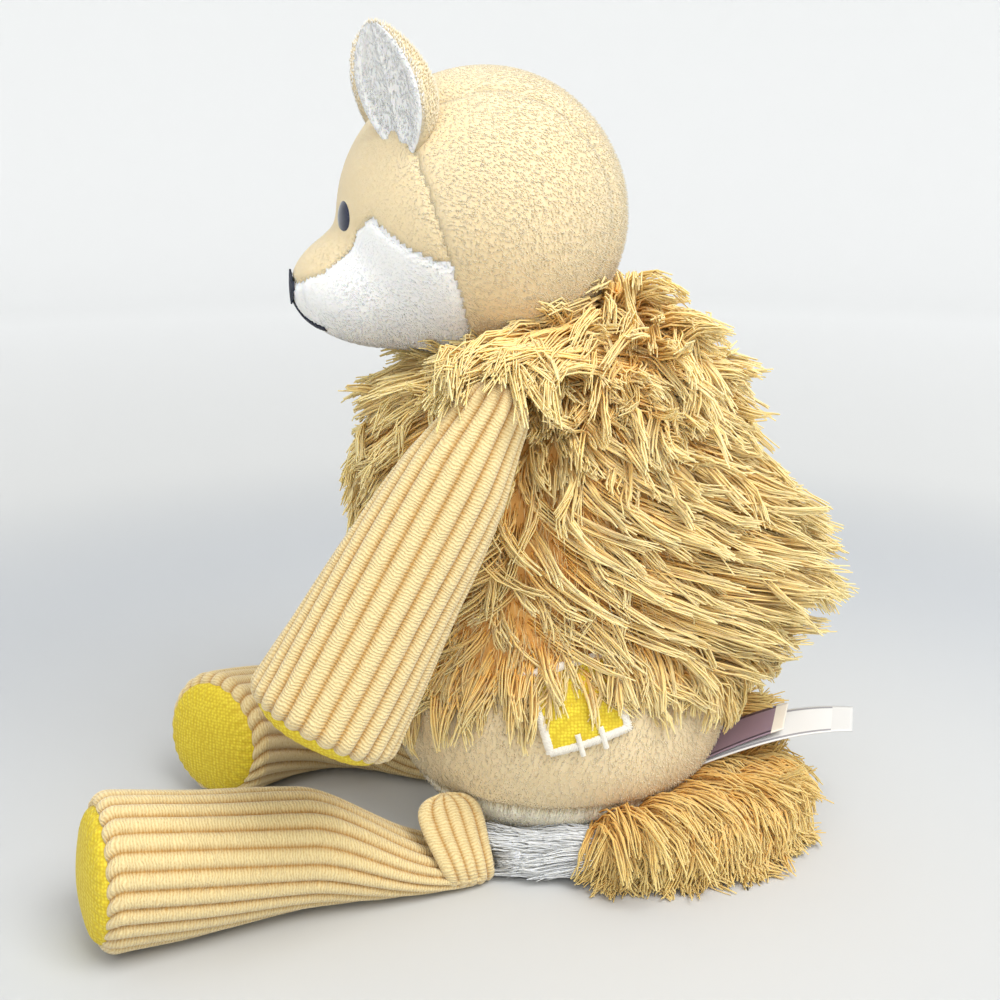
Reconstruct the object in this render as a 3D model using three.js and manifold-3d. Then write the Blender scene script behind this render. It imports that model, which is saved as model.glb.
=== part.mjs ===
// A seated plush fox, in millimetres, with +Z up.
// The fox faces -Y and its left side is +X. The origin is on the floor under the middle of the seat.
// Every cover is an open shell of pile fabric, and the stuffing inside it is a solid of its own.

import * as THREE from 'three';
import { mergeVertices } from 'three/addons/utils/BufferGeometryUtils.js';
import Module from 'manifold-3d';

const wasm = await Module();
wasm.setup();

// Fabric and fits
const coverWall = 2.4;         // pile fabric with its backing
const sleeveWall = 2.2;        // corduroy of the arms and legs
const sewnGap = 0.3;           // between pieces that touch
const socketGap = 0.6;         // round the hips and the tail, where they turn in the trunk
const collarGap = 1.2;         // between the head and the collar it rolls in
const far = 300;               // reach of a cutting block past the model

// Belly, a bowl with a small flat seat
const seatRadius = 20;
const bellyHeight = 54;        // height of the widest section
const bellyHalfWidth = 56;
const bellyFront = 59.5;
const bellyBack = 61.5;
const basePanelTop = 17.5;
const bellyCoverTop = 80;      // the belly cover ends under the shag

// Trunk above the belly: half width, and how far it reaches forward and back
const waist = { z: 82, halfWidth: 51, front: 60, back: 66 };
const ribs = { z: 112, halfWidth: 48.5, front: 62, back: 66 };
const chest = { z: 138, halfWidth: 45, front: 60, back: 57 };
const shoulders = { z: 157, halfWidth: 39, front: 46, back: 48 };
const collar = { z: 173, halfWidth: 29, front: 22, back: 38 };
const nape = { z: 185, halfWidth: 12, front: 3, back: 24 };

// Shag pile over the trunk
const shagHemSide = 72;        // height of the hem at the sides
const shagHemEnds = 55;        // height of the hem at the front and back
const shagHemPile = 3.2;
const shagChestPile = 7.5;
const shagFrontExtra = 1.5;
const shagBackPile = 9;
const shagRump = { z: 89, depth: 23, spread: 30 };
const shagTop = 190;

// Head: a round skull with a short snout
const skull = { x: 0, y: -26, z: 213, halfWidth: 44, radius: 46 };
const snout = { x: 0, y: -57.5, z: 190.5, halfWidth: 22, depth: 30, height: 19 };
const headHeart = { x: 0, y: -42, z: 200 };   // a point inside both
const headBlend = 7;           // higher is a sharper crease between them
const neckRadius = 15;
const nodDown = 10;            // degrees that the head nods, where the shag gives way to the chin
const faceSeamFoot = { y: -36, z: 187 };
const faceSeamLean = 0.304;    // the seam runs forward as it rises
const crownHalfWidth = 25;

// White muzzle and cheeks, as heights of their upper edge at distances from the middle
const bridge = { x: 8, z: 192.5 };
const snoutSide = { x: 15.5, z: 196 };
const underEye = { x: 19.5, z: 209.5 };
const cheekPeak = { x: 26, z: 213.5 };
const cheekEnd = { x: 40, z: 200 };

// Eyes
const eyeRadius = 6;
const eyeHeight = 3.6;
const eyeSeat = 0.8;           // how deep the eye sinks in the pile
const eyeStemRadius = 1.8;
const eyeStemLength = 9;
const eyeWasherRadius = 5;
const eyeWasherThickness = 1.4;
const eyePlace = { x: 13, y: -75, z: 214.5 };

// Nose and mouth embroidery
const noseHalfWidth = 7;
const noseTop = 195;
const noseBottom = 186;
const noseBevel = 2;             // how far its corners sit in from its top and bottom
const mouthHalfWidth = 8.5;
const mouthCorner = 178.5;
const mouthMiddle = 182;
const stitchWidth = 2.4;
const stitchHeight = 1.6;

// Ears
const earBase = { x: 28, y: -54, z: 237 };
const earTip = { x: 30.5, y: -62, z: 269.5 };
const earTurn = 34;            // degrees that the opening turns outwards
const earHalfWidth = 14.5;
const earCup = 13.5;           // depth of the cup
const earPinch = 0.16;         // share of the swelling that the base starts at
const earFullness = 0.6;       // lower rounds the tip more
const earWall = 1.8;
const liningWall = 1.3;
const earRootRadius = 4;
const earRootLength = 10;
const earRootLift = 2;         // height of the fold line above the skull
const earRootShare = 0.2;      // the fold line meets the cup's back this far up the ear
const earFoldDepth = 0.75;     // and this share of the cup's depth behind its rims
const earTopShare = 0.96;      // the cup ends a little short of a point
const liningBottomShare = 0.12;
const liningTopShare = 0.88;
const earFoldRoom = 1.3;       // more gap under the rims, which dip when the ear folds

// Arms
const shoulder = { y: -33, z: 158 };
const shoulderSeat = 37;       // flat place on the trunk that the arm is sewn to
const shoulderBossRadius = 11.5;
const armTopX = 67;
const armHemX = 78.5;
const armLength = 99;
const leftArmForward = 31;     // degrees forward of straight down
const rightArmForward = 9;
const armTopRadius = 14;
const armHemRadius = 23.7;
const armFlatten = 0.88;
const pawPadRadius = 19.5;

// Legs
const hip = { x: 39.5, y: -41.5 };
const legTopRadius = 15;
const legFootRadius = 23.5;
const leftKnee = { x: 52, y: -100 };
const leftFoot = { x: 67, y: -151 };
const rightKnee = { x: -66, y: -88 };
const rightFoot = { x: -27, y: -122 };
const solePadRadius = 20;
const padDome = 5.5;           // how far a pad bulges at its middle
const rimRound = 4;            // how far the sleeve curls in at a pad

// Tail, tucked round the left side
const tailRoot = { x: 0, y: 65, z: 25 };
const tailRootRadius = 9;
const tailRootHalfHeight = 8;
const tailBend = { x: 9, y: 78.5, z: 16 };
const tailRear = { x: 31, y: 75, z: 14.3 };
const tailSide = { x: 49.5, y: 52, z: 14 };
const tailFront = { x: 54, y: 20, z: 12.6 };
const tailTip = { x: 46.5, y: -19.5, z: 9.2 };
const tailSwell = 13.5;
const tailTipRadius = 8.4;
const tailTipShare = 0.81;     // share of the length where the white tip starts
const tailCoverShare = 0.06;   // where the cover leaves the root
const tailFillShare = 0.14;    // where the hollow for the stuffing starts
const tailFullness = 0.6;      // lower keeps the tail full for longer

// Patch on the left hip
const patchPlace = { y: -3, z: 65 };
const patchHalfSize = 13.2;
const patchTurn = 16;          // degrees
const patchThickness = 1;
const patchBorder = 2.4;

// Labels in the base seam, at the left rear
const labelRoot = { x: 18.5, y: 40, z: 25 };
const labelLean = 17;          // degrees that a label rises towards its end
const careLabelLength = 62;
const careLabelWidth = 17;
const sideLabelLength = 39;
const sideLabelWidth = 15;
const labelThickness = 0.7;

// Fineness of the forms
const trunkSides = 20;
const headColumns = 20;
const headRows = 13;
const collarColumns = 28;      // the round place in the trunk that the head rolls in
const collarRows = 18;
const hipColumns = 20;         // the round places for the tops of the legs
const hipRows = 14;
const liningColumns = 16;      // the hollow inside the head, and its stuffing
const liningRows = 10;
const limbSides = 12;
const tailSides = 10;
const roundSides = 14;         // bars, pills and turned pieces

const degrees = THREE.MathUtils.degToRad;

function vector({ x = 0, y = 0, z = 0 }) {
  return new THREE.Vector3(x, y, z);
}

// A closed solid from points and triangles, turned so that its faces point outwards
function solidOf(points, faces) {
  let volume = 0;
  for (let i = 0; i < faces.length; i += 3) {
    const [a, b, c] = [points[faces[i]], points[faces[i + 1]], points[faces[i + 2]]];
    volume += a.dot(b.clone().cross(c));
  }
  const order = volume < 0 ? faces.slice().reverse() : faces;
  const vertProperties = new Float32Array(points.flatMap((point) => point.toArray()));
  return new wasm.Manifold(new wasm.Mesh({ numProp: 3, vertProperties, triVerts: new Uint32Array(order) }));
}

// A solid from one of three's own closed geometries
function solidFrom(geometry) {
  geometry.deleteAttribute('normal');
  geometry.deleteAttribute('uv');
  const merged = mergeVertices(geometry);
  const vertProperties = new Float32Array(merged.attributes.position.array);
  const triVerts = new Uint32Array(merged.index.array);
  return new wasm.Manifold(new wasm.Mesh({ numProp: 3, vertProperties, triVerts }));
}

// Joins rings of points into one closed solid. The first and last rings are single points.
function loft(rings) {
  const points = rings.flat();
  const faces = [];
  const sides = Math.max(...rings.map((ring) => ring.length));
  let start = 0;
  for (let i = 0; i + 1 < rings.length; i++) {
    const here = rings[i].length;
    const there = rings[i + 1].length;
    for (let k = 0; k < sides; k++) {
      const a = start + (k % here);
      const b = start + ((k + 1) % here);
      const c = start + here + (k % there);
      const d = start + here + ((k + 1) % there);
      if (a !== b) faces.push(a, b, c);
      if (c !== d) faces.push(b, d, c);
    }
    start += here;
  }
  return solidOf(points, faces);
}

function block(min, max) {
  const size = max.clone().sub(min);
  const geometry = new THREE.BoxGeometry(size.x, size.y, size.z);
  geometry.translate(...min.clone().add(max).multiplyScalar(0.5).toArray());
  return solidFrom(geometry);
}

// A round bar along X, from one x to another
function barAlongX(radius, fromX, toX, y, z) {
  const geometry = new THREE.CylinderGeometry(radius, radius, Math.abs(toX - fromX), roundSides);
  geometry.rotateZ(Math.PI / 2);
  geometry.translate((fromX + toX) / 2, y, z);
  return solidFrom(geometry);
}

function ball(centre, halfWidth, radius, columns, rows) {
  const geometry = new THREE.SphereGeometry(1, columns, rows);
  geometry.rotateZ(Math.PI / 2);
  geometry.scale(halfWidth, radius, radius);
  geometry.translate(centre.x, centre.y, centre.z);
  return solidFrom(geometry);
}

// A flat outline pushed through the model along Y
function throughY(outline, fromY = -far, toY = far) {
  const shape = new THREE.Shape(outline.map(({ x, z }) => new THREE.Vector2(x, z)));
  const geometry = new THREE.ExtrudeGeometry(shape, { depth: toY - fromY, bevelEnabled: false });
  geometry.rotateX(Math.PI / 2);
  geometry.translate(0, toY, 0);
  return solidFrom(geometry);
}

// A smooth value between 0 and 1
function ease(share) {
  return THREE.MathUtils.smoothstep(share, 0, 1);
}

// TRUNK FORM

// A section between the named ones, on a curve that passes through them all
function sectionAt(stations, z) {
  const last = stations.length - 1;
  const upper = stations.findIndex((station) => station.z >= z);
  const i = THREE.MathUtils.clamp(upper < 0 ? last : upper, 1, last);
  const around = [i - 2, i - 1, i, i + 1].map((k) => stations[THREE.MathUtils.clamp(k, 0, last)]);
  const share = (z - around[1].z) / (around[2].z - around[1].z);
  const between = (key) => {
    const [before, low, high, after] = around.map((station) => station[key]);
    const startSlope = (high - before) / 2;
    const endSlope = (after - low) / 2;
    const t = THREE.MathUtils.clamp(share, 0, 1);
    return low + t * (startSlope + t * (3 * (high - low) - 2 * startSlope - endSlope
      + t * (startSlope + endSlope - 2 * (high - low))));
  };
  return { z, halfWidth: between('halfWidth'), front: between('front'), back: between('back') };
}

const belly = { z: bellyHeight, halfWidth: bellyHalfWidth, front: bellyFront, back: bellyBack };
const bowlDrop = bellyHeight / Math.sqrt(1 - (seatRadius / bellyHalfWidth) ** 2);
const trunkStations = [belly, waist, ribs, chest, shoulders, collar, nape];

function trunkSection(z) {
  if (z > bellyHeight) return sectionAt(trunkStations, z);
  const share = Math.sqrt(1 - ((bellyHeight - z) / bowlDrop) ** 2);
  const middle = (bellyBack - bellyFront) / 2;
  const depth = (bellyBack + bellyFront) / 2 * share;
  return { z, halfWidth: bellyHalfWidth * share, front: depth - middle, back: depth + middle };
}

// One point of a section at an angle from straight ahead, moved outwards by an offset
function sectionPoint(section, angle, offset) {
  const middle = (section.back - section.front) / 2;
  const halfDepth = (section.back + section.front) / 2 + offset;
  const x = Math.sin(angle) * (section.halfWidth + offset);
  const y = middle - Math.cos(angle) * halfDepth;
  return new THREE.Vector3(x, y, section.z);
}

function ringOf(sides, pointAt) {
  return Array.from({ length: sides }, (_, k) => pointAt(k / sides * 2 * Math.PI));
}

function poleOf(ring, lift = 0) {
  const middle = new THREE.Vector3();
  ring.forEach((point) => middle.addScaledVector(point, 1 / ring.length));
  middle.z += lift;
  return [middle];
}

function trunkRing(z, offset) {
  const section = trunkSection(z);
  return ringOf(trunkSides, (angle) => sectionPoint(section, angle, offset));
}

const trunkHeights = [0, 3, 9, basePanelTop, 33, bellyHeight, 68, waist.z, ribs.z, chest.z, shoulders.z, 166,
  collar.z, nape.z];

// The trunk's form between two heights. A negative offset lies inside the skin.
function trunkForm(offset, fromZ, toZ) {
  const heights = trunkHeights.filter((z) => z > fromZ + 1 && z < toZ - 1);
  const rings = [fromZ, ...heights, toZ].map((z) => trunkRing(z, offset));
  return loft([poleOf(rings[0]), ...rings, poleOf(rings[rings.length - 1])]);
}

function shagHem(angle) {
  return THREE.MathUtils.lerp(shagHemEnds, shagHemSide, Math.sin(angle) ** 2);
}

// The outer face of the shag at an angle, from its hem (share 0) to its top (share 1)
function shagPoint(angle, share) {
  const z = THREE.MathUtils.lerp(shagHem(angle), nape.z, share);
  const section = trunkSection(z);
  const thicken = ease((z - shagHemEnds) / (ribs.z - shagHemEnds));
  const side = THREE.MathUtils.lerp(shagHemPile, shagChestPile, thicken);
  const rump = shagRump.depth * Math.exp(-(((z - shagRump.z) / shagRump.spread) ** 2));
  const piled = {
    z,
    halfWidth: section.halfWidth + side,
    front: section.front + side + shagFrontExtra,
    back: section.back + shagBackPile + rump,
  };
  return sectionPoint(piled, angle, 0);
}

function shagForm() {
  const rows = 8;
  const rings = Array.from({ length: rows + 1 }, (_, i) => (
    ringOf(trunkSides, (angle) => shagPoint(angle, i / rows))));
  const top = poleOf(rings[rows], shagTop - nape.z);
  return loft([poleOf(rings[0]), ...rings, top]);
}

// HEAD FORM

// How far a point inside an ellipsoid is from its surface in one direction
function reach(centre, radii, from, direction) {
  const start = from.clone().sub(centre).divide(radii);
  const step = direction.clone().divide(radii);
  const a = step.dot(step);
  const b = start.dot(step);
  const c = start.dot(start) - 1;
  return (-b + Math.sqrt(b * b - a * c)) / a;
}

const skullRadii = new THREE.Vector3(skull.halfWidth, skull.radius, skull.radius);
const snoutRadii = new THREE.Vector3(snout.halfWidth, snout.depth, snout.height);

function headPoint(direction, offset) {
  const heart = vector(headHeart);
  const toSkull = reach(vector(skull), skullRadii, heart, direction);
  const toSnout = reach(vector(snout), snoutRadii, heart, direction);
  const outwards = (toSkull ** headBlend + toSnout ** headBlend) ** (1 / headBlend);
  return heart.addScaledVector(direction, outwards + offset);
}

function headForm(offset, columns = headColumns, rows = headRows) {
  const rings = Array.from({ length: rows + 1 }, (_, i) => {
    const fromNose = Math.PI * i / rows;
    const count = i === 0 || i === rows ? 1 : columns;
    return ringOf(count, (angle) => {
      const width = Math.sin(fromNose);
      const direction = new THREE.Vector3(width * Math.sin(angle), -Math.cos(fromNose), width * Math.cos(angle));
      return headPoint(direction, offset);
    });
  });
  return loft(rings);
}

// LIMB AND TAIL FORMS

// A ring square to a curve. Its first axis stays as level as it can.
function ringAcross(curve, share, radius, flatten, sides, along = 0) {
  const middle = curve.getPointAt(share);
  const forward = curve.getTangentAt(share);
  const side = new THREE.Vector3(0, 0, 1).cross(forward);
  if (Math.abs(forward.z) > Math.abs(forward.y)) side.set(1, 0, 0).addScaledVector(forward, -forward.x);
  side.normalize();
  const up = forward.clone().cross(side);
  middle.addScaledVector(forward, along);
  return ringOf(sides, (angle) => middle.clone()
    .addScaledVector(side, radius * flatten * Math.cos(angle))
    .addScaledVector(up, radius * Math.sin(angle)));
}

// The rings of a limb from its round top to a little before its hem
function limbRings(limb, inset) {
  const { curve, topRadius, hemRadius, flatten } = limb;
  const length = curve.getLength();
  const ring = (share, radius, along = 0) => ringAcross(curve, share, radius, flatten, limbSides, along);
  const top = topRadius - inset;
  const dome = [58, 22].map((lift) => (
    ring(0, top * Math.cos(degrees(lift)), -top * Math.sin(degrees(lift)))));
  const end = 1 - rimRound / length;
  const shares = [0.2, 0.5, 0.8, 1].map((share) => share * end);
  const tube = shares.map((share) => ring(share, THREE.MathUtils.lerp(topRadius, hemRadius, share) - inset));
  return [ring(0, 0, -top).slice(0, 1), ...dome, ...tube];
}

function hemRing(limb, radius, along) {
  return ringAcross(limb.curve, 1, radius, limb.flatten, limbSides, along);
}

function limbSleeve(limb) {
  const opening = limb.padRadius + sewnGap;
  const outside = [...limbRings(limb, 0), hemRing(limb, limb.hemRadius - rimRound / 2, -rimRound / 3)];
  const inside = limbRings(limb, sleeveWall);
  const lip = [hemRing(limb, opening, 0), hemRing(limb, opening, -sleeveWall)];
  return loft([...outside, ...lip, ...inside.reverse()]);
}

function padRings(limb, along) {
  return [0, 28, 56].map((lift) => (
    hemRing(limb, limb.padRadius * Math.cos(degrees(lift)), along + padDome * Math.sin(degrees(lift)))));
}

function limbPad(limb) {
  const outside = padRings(limb, 0);
  const inside = padRings(limb, -sleeveWall);
  const top = hemRing(limb, 0, padDome).slice(0, 1);
  const bottom = hemRing(limb, 0, padDome - sleeveWall).slice(0, 1);
  return loft([bottom, ...inside.reverse(), ...outside, top]);
}

function limbStuffing(limb) {
  const depth = sleeveWall + sewnGap;
  const end = hemRing(limb, 0, padDome - depth).slice(0, 1);
  return loft([...limbRings(limb, depth), ...padRings(limb, -depth), end].reverse());
}

// Rings of the tail between two shares of its length
function tailRing(share, inset) {
  const swelling = Math.sin(Math.PI * Math.min(1, 0.28 + share * 0.9)) ** tailFullness;
  const taper = THREE.MathUtils.lerp(tailRootRadius, tailTipRadius, share);
  const radius = taper + (tailSwell - taper) * swelling;
  return ringAcross(tailCurve, share, radius - inset, 1, tailSides);
}

function tailRings(fromShare, toShare, inset, count) {
  return Array.from({ length: count + 1 }, (_, i) => (
    tailRing(THREE.MathUtils.lerp(fromShare, toShare, i / count), inset)));
}

const tailCurve = new THREE.CatmullRomCurve3([tailRoot, tailBend, tailRear, tailSide, tailFront, tailTip].map(vector));

// The round end of the tail's tip
function tailDome(inset) {
  const ring = tailRing(1, inset);
  const middle = tailCurve.getPointAt(1);
  const forward = tailCurve.getTangentAt(1);
  const radius = ring[0].distanceTo(middle);
  const rings = [30, 60].map((lift) => ring.map((point) => middle.clone()
    .lerp(point, Math.cos(degrees(lift)))
    .addScaledVector(forward, radius * Math.sin(degrees(lift)))));
  return [...rings, [middle.clone().addScaledVector(forward, radius)]];
}

// EARS

const linedShares = [0, 1, 2, 3].map((row) => THREE.MathUtils.lerp(liningBottomShare, liningTopShare, row / 3));
const cupShares = [0, ...linedShares, earTopShare];

// The cupped ear of the left side as crescents, one for each share of its height
function earCrescents(outerInset, innerInset, shares) {
  const across = new THREE.Vector3(Math.cos(degrees(earTurn)), Math.sin(degrees(earTurn)), 0);
  const backwards = new THREE.Vector3(-Math.sin(degrees(earTurn)), Math.cos(degrees(earTurn)), 0);
  const steps = 6;
  return shares.map((share) => {
    const swelling = Math.sin(Math.PI * (earPinch + (1 - earPinch) * share)) ** earFullness;
    const middle = vector(earBase).lerp(vector(earTip), share);
    const arc = (inset) => Array.from({ length: steps + 1 }, (_, k) => {
      const angle = (k / steps - 0.5) * Math.PI;
      const width = Math.max(earHalfWidth * swelling - inset, 0.3);
      const depth = Math.max(earCup * swelling - inset, 0.3);
      return middle.clone()
        .addScaledVector(across, width * Math.sin(angle))
        .addScaledVector(backwards, depth * Math.cos(angle));
    });
    return [...arc(outerInset), ...arc(innerInset).reverse()];
  });
}

// A solid whose rings are crescents, closed at both ends by strips across them
function crescentLoft(rings) {
  const count = rings[0].length;
  const faces = [];
  const quad = (a, b, c, d) => faces.push(a, b, c, c, b, d);
  for (let i = 0; i + 1 < rings.length; i++) {
    for (let k = 0; k < count; k++) {
      const next = (k + 1) % count;
      quad(i * count + k, i * count + next, (i + 1) * count + k, (i + 1) * count + next);
    }
  }
  const top = (rings.length - 1) * count;
  for (let k = 0; k + 1 < count / 2; k++) {
    const mirror = count - 1 - k;
    quad(k, mirror, k + 1, mirror - 1);
    quad(top + mirror, top + k, top + mirror - 1, top + k + 1);
  }
  return solidOf(rings.flat(), faces);
}

// PIECES

const pieces = [];

function piece(name, solid, finish) {
  pieces.push({ name, solid, finish });
}

const finishes = {
  tanPile: { color: 0xd2a36c, roughness: 0.95, metalness: 0 },
  shag: { color: 0xdcb787, roughness: 0.95, metalness: 0 },
  whitePile: { color: 0xf1ebe2, roughness: 0.95, metalness: 0 },
  corduroy: { color: 0xe6d9c2, roughness: 0.9, metalness: 0 },
  satin: { color: 0xf2c51f, roughness: 0.45, metalness: 0 },
  stuffing: { color: 0xf4f3ee, roughness: 1, metalness: 0 },
  thread: { color: 0x1b2135, roughness: 0.6, metalness: 0 },
  eyePlastic: { color: 0x0b0d16, roughness: 0.1, metalness: 0 },
  washer: { color: 0xe8e8e4, roughness: 0.5, metalness: 0 },
  label: { color: 0xf3f2f0, roughness: 0.5, metalness: 0 },
  darkLabel: { color: 0x8d7787, roughness: 0.5, metalness: 0 },
  borderThread: { color: 0xf6f3ea, roughness: 0.6, metalness: 0 },
};

function mirrored(solid) {
  return solid.mirror([1, 0, 0]);
}

function armHanging(forward) {
  const top = vector({ x: armTopX, ...shoulder });
  const hem = new THREE.Vector3(armHemX, shoulder.y - armLength * Math.sin(degrees(forward)),
    shoulder.z - armLength * Math.cos(degrees(forward)));
  return {
    curve: new THREE.LineCurve3(top, hem),
    topRadius: armTopRadius, hemRadius: armHemRadius, flatten: armFlatten, padRadius: pawPadRadius,
  };
}

function legAlong(side, knee, foot) {
  const rise = (radius) => radius + sewnGap;
  const top = new THREE.Vector3(side * hip.x, hip.y, rise(legTopRadius));
  const middle = new THREE.Vector3(knee.x, knee.y, rise((legTopRadius + legFootRadius) / 2));
  const end = new THREE.Vector3(foot.x, foot.y, rise(legFootRadius));
  return {
    curve: new THREE.QuadraticBezierCurve3(top, middle, end),
    topRadius: legTopRadius, hemRadius: legFootRadius, flatten: 1, padRadius: solePadRadius,
  };
}

const legs = { left: legAlong(1, leftKnee, leftFoot), right: legAlong(-1, rightKnee, rightFoot) };
const sides = { left: 1, right: -1 };
const hipBall = { y: hip.y, z: legTopRadius + sewnGap };

// The round places in the trunk that the shoulders, hips, tail and head turn in
function jointRoom() {
  const room = [];
  for (const side of Object.values(sides)) {
    room.push(barAlongX(shoulderBossRadius + sewnGap, side * shoulderSeat, side * far, shoulder.y, shoulder.z));
    const hipRoom = legTopRadius + socketGap;
    room.push(ball({ x: side * hip.x, ...hipBall }, hipRoom, hipRoom, hipColumns, hipRows));
  }
  const pocket = new THREE.CylinderGeometry(tailRootRadius + sewnGap, tailRootRadius + sewnGap,
    2 * (tailRootHalfHeight + sewnGap), roundSides);
  pocket.rotateX(Math.PI / 2);
  pocket.translate(tailRoot.x, tailRoot.y, tailRoot.z);
  room.push(solidFrom(pocket));
  room.push(ball(skull, skull.halfWidth + collarGap, skull.radius + collarGap, collarColumns, collarRows));
  return wasm.Manifold.union(room);
}

// The head's form at a few steps of its nod
function chinRoom() {
  const head = headForm(sewnGap);
  const steps = [nodDown / 2, nodDown];
  return wasm.Manifold.union(steps.map((angle) => head
    .translate([-skull.x, -skull.y, -skull.z])
    .rotate([angle, 0, 0])
    .translate([skull.x, skull.y, skull.z])));
}

function makeTrunk() {
  const room = jointRoom();
  const inside = -(coverWall + sewnGap);
  const core = trunkForm(inside, coverWall + sewnGap, nape.z);
  piece('body_stuffing', core.subtract(room), finishes.stuffing);

  const hollow = trunkForm(-coverWall, coverWall, nape.z);
  const base = trunkForm(0, 0, basePanelTop);
  piece('base_panel', base.subtract(hollow).subtract(room), finishes.tanPile);

  const lower = trunkForm(0, basePanelTop + sewnGap, bellyCoverTop);
  piece('lower_body_cover', lower.subtract(hollow).subtract(room), finishes.tanPile);

  const overBelly = trunkForm(sewnGap, basePanelTop, bellyCoverTop + sewnGap);
  const shag = shagForm().subtract(overBelly).subtract(hollow).subtract(room).subtract(chinRoom());
  piece('shag_body_cover', shag, finishes.shag);
}

function patchOutline(halfSize) {
  const turn = degrees(patchTurn);
  const geometry = new THREE.BoxGeometry(far, 2 * halfSize, 2 * halfSize);
  geometry.rotateX(turn);
  geometry.translate(far / 2, patchPlace.y, patchPlace.z);
  return solidFrom(geometry);
}

function makePatch() {
  const skin = trunkForm(sewnGap + patchThickness, basePanelTop, shagHemSide + patchHalfSize)
    .subtract(trunkForm(sewnGap, basePanelTop - 1, shagHemSide + patchHalfSize + 1));
  const shagRoom = shagForm();
  const inner = patchHalfSize - patchBorder;
  piece('hip_patch', skin.intersect(patchOutline(inner - sewnGap)).subtract(shagRoom), finishes.satin);
  const border = patchOutline(patchHalfSize).subtract(patchOutline(inner));
  piece('hip_patch_border', skin.intersect(border).subtract(shagRoom), finishes.borderThread);
}

// A label is a flat strip that rises from its root in the seam of the belly
function labelStrip(length, width, layer) {
  const geometry = new THREE.BoxGeometry(width, length, labelThickness);
  geometry.translate(0, length / 2, layer * (labelThickness + sewnGap));
  geometry.rotateX(degrees(labelLean));
  geometry.translate(labelRoot.x, labelRoot.y, labelRoot.z);
  return solidFrom(geometry).subtract(trunkForm(sewnGap, 0, bellyCoverTop));
}

function makeLabels() {
  piece('care_label', labelStrip(careLabelLength, careLabelWidth, 0), finishes.label);
  piece('side_label', labelStrip(sideLabelLength, sideLabelWidth, 1), finishes.darkLabel);
}

const eyeAxis = vector(eyePlace).sub(vector(skull)).normalize();

// An eye with its stem, turned on a lathe and set in the face. Room makes it larger all round.
function eyeSolid(room = 0) {
  const dome = [0, 30, 60].map((lift) => new THREE.Vector2(
    (eyeRadius + room) * Math.cos(degrees(lift)), (eyeHeight + room) * Math.sin(degrees(lift))));
  const profile = [
    new THREE.Vector2(0, -eyeStemLength - room),
    new THREE.Vector2(eyeStemRadius + room, -eyeStemLength - room),
    new THREE.Vector2(eyeStemRadius + room, -eyeSeat - room),
    new THREE.Vector2(eyeRadius + room, -eyeSeat - room),
    ...dome,
    new THREE.Vector2(0, eyeHeight + room),
  ];
  return onEyeAxis(new THREE.LatheGeometry(profile, roundSides));
}

function washerSolid(room = 0) {
  const top = -coverWall - eyeSeat + room;
  const bottom = -coverWall - eyeSeat - eyeWasherThickness - room;
  const profile = [
    new THREE.Vector2(eyeStemRadius + sewnGap - room, bottom),
    new THREE.Vector2(eyeWasherRadius + room, bottom),
    new THREE.Vector2(eyeWasherRadius + room, top),
    new THREE.Vector2(eyeStemRadius + sewnGap - room, top),
    new THREE.Vector2(eyeStemRadius + sewnGap - room, bottom),
  ];
  return onEyeAxis(new THREE.LatheGeometry(profile, roundSides));
}

function onEyeAxis(geometry) {
  const turn = new THREE.Quaternion().setFromUnitVectors(new THREE.Vector3(0, 1, 0), eyeAxis);
  geometry.applyQuaternion(turn);
  const middle = headPoint(vector(eyePlace).sub(vector(headHeart)).normalize(), 0);
  geometry.translate(middle.x, middle.y, middle.z);
  return solidFrom(geometry);
}

function muzzleOutline(lift) {
  const edge = [bridge, snoutSide, underEye, cheekPeak, cheekEnd];
  const outline = [{ x: -far, z: 0 }, { x: far, z: 0 }, { x: far, z: cheekEnd.z + lift }];
  edge.slice().reverse().forEach(({ x, z }) => outline.push({ x, z: z + lift }));
  edge.forEach(({ x, z }) => outline.push({ x: -x, z: z + lift }));
  outline.push({ x: -far, z: cheekEnd.z + lift });
  return outline;
}

// The half space in front of the face seam, moved back by a distance
function inFrontOfFaceSeam(back) {
  const lean = far * faceSeamLean;
  const shape = new THREE.Shape([
    new THREE.Vector2(-far * 2, -far),
    new THREE.Vector2(lean + back + faceSeamFoot.y, -far + faceSeamFoot.z),
    new THREE.Vector2(-lean + back + faceSeamFoot.y, far + faceSeamFoot.z),
    new THREE.Vector2(-far * 2, far * 2),
  ]);
  const geometry = new THREE.ExtrudeGeometry(shape, { depth: 2 * far, bevelEnabled: false });
  geometry.rotateX(Math.PI / 2);
  geometry.rotateZ(Math.PI / 2);
  geometry.translate(-far, 0, 0);
  return solidFrom(geometry);
}

function earRootPill(room) {
  const across = new THREE.Vector3(Math.cos(degrees(earTurn)), Math.sin(degrees(earTurn)), 0);
  const geometry = new THREE.CylinderGeometry(earRootRadius + room, earRootRadius + room,
    earRootLength + 2 * room, 10);
  geometry.applyQuaternion(new THREE.Quaternion().setFromUnitVectors(new THREE.Vector3(0, 1, 0), across));
  const pivot = earPivot();
  geometry.translate(pivot.x, pivot.y, pivot.z);
  return solidFrom(geometry);
}

// The fold line of the left ear passes through this point
function earPivot() {
  const backwards = new THREE.Vector3(-Math.sin(degrees(earTurn)), Math.cos(degrees(earTurn)), 0);
  const root = vector(earBase).lerp(vector(earTip), earRootShare).addScaledVector(backwards, earFoldDepth * earCup);
  const scaled = root.sub(vector(skull)).divide(skullRadii);
  scaled.z = Math.sqrt(1 - scaled.x ** 2 - scaled.y ** 2);
  const normal = scaled.clone().divide(skullRadii).normalize();
  return scaled.multiply(skullRadii).add(vector(skull)).addScaledVector(normal, earRootLift);
}

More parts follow.
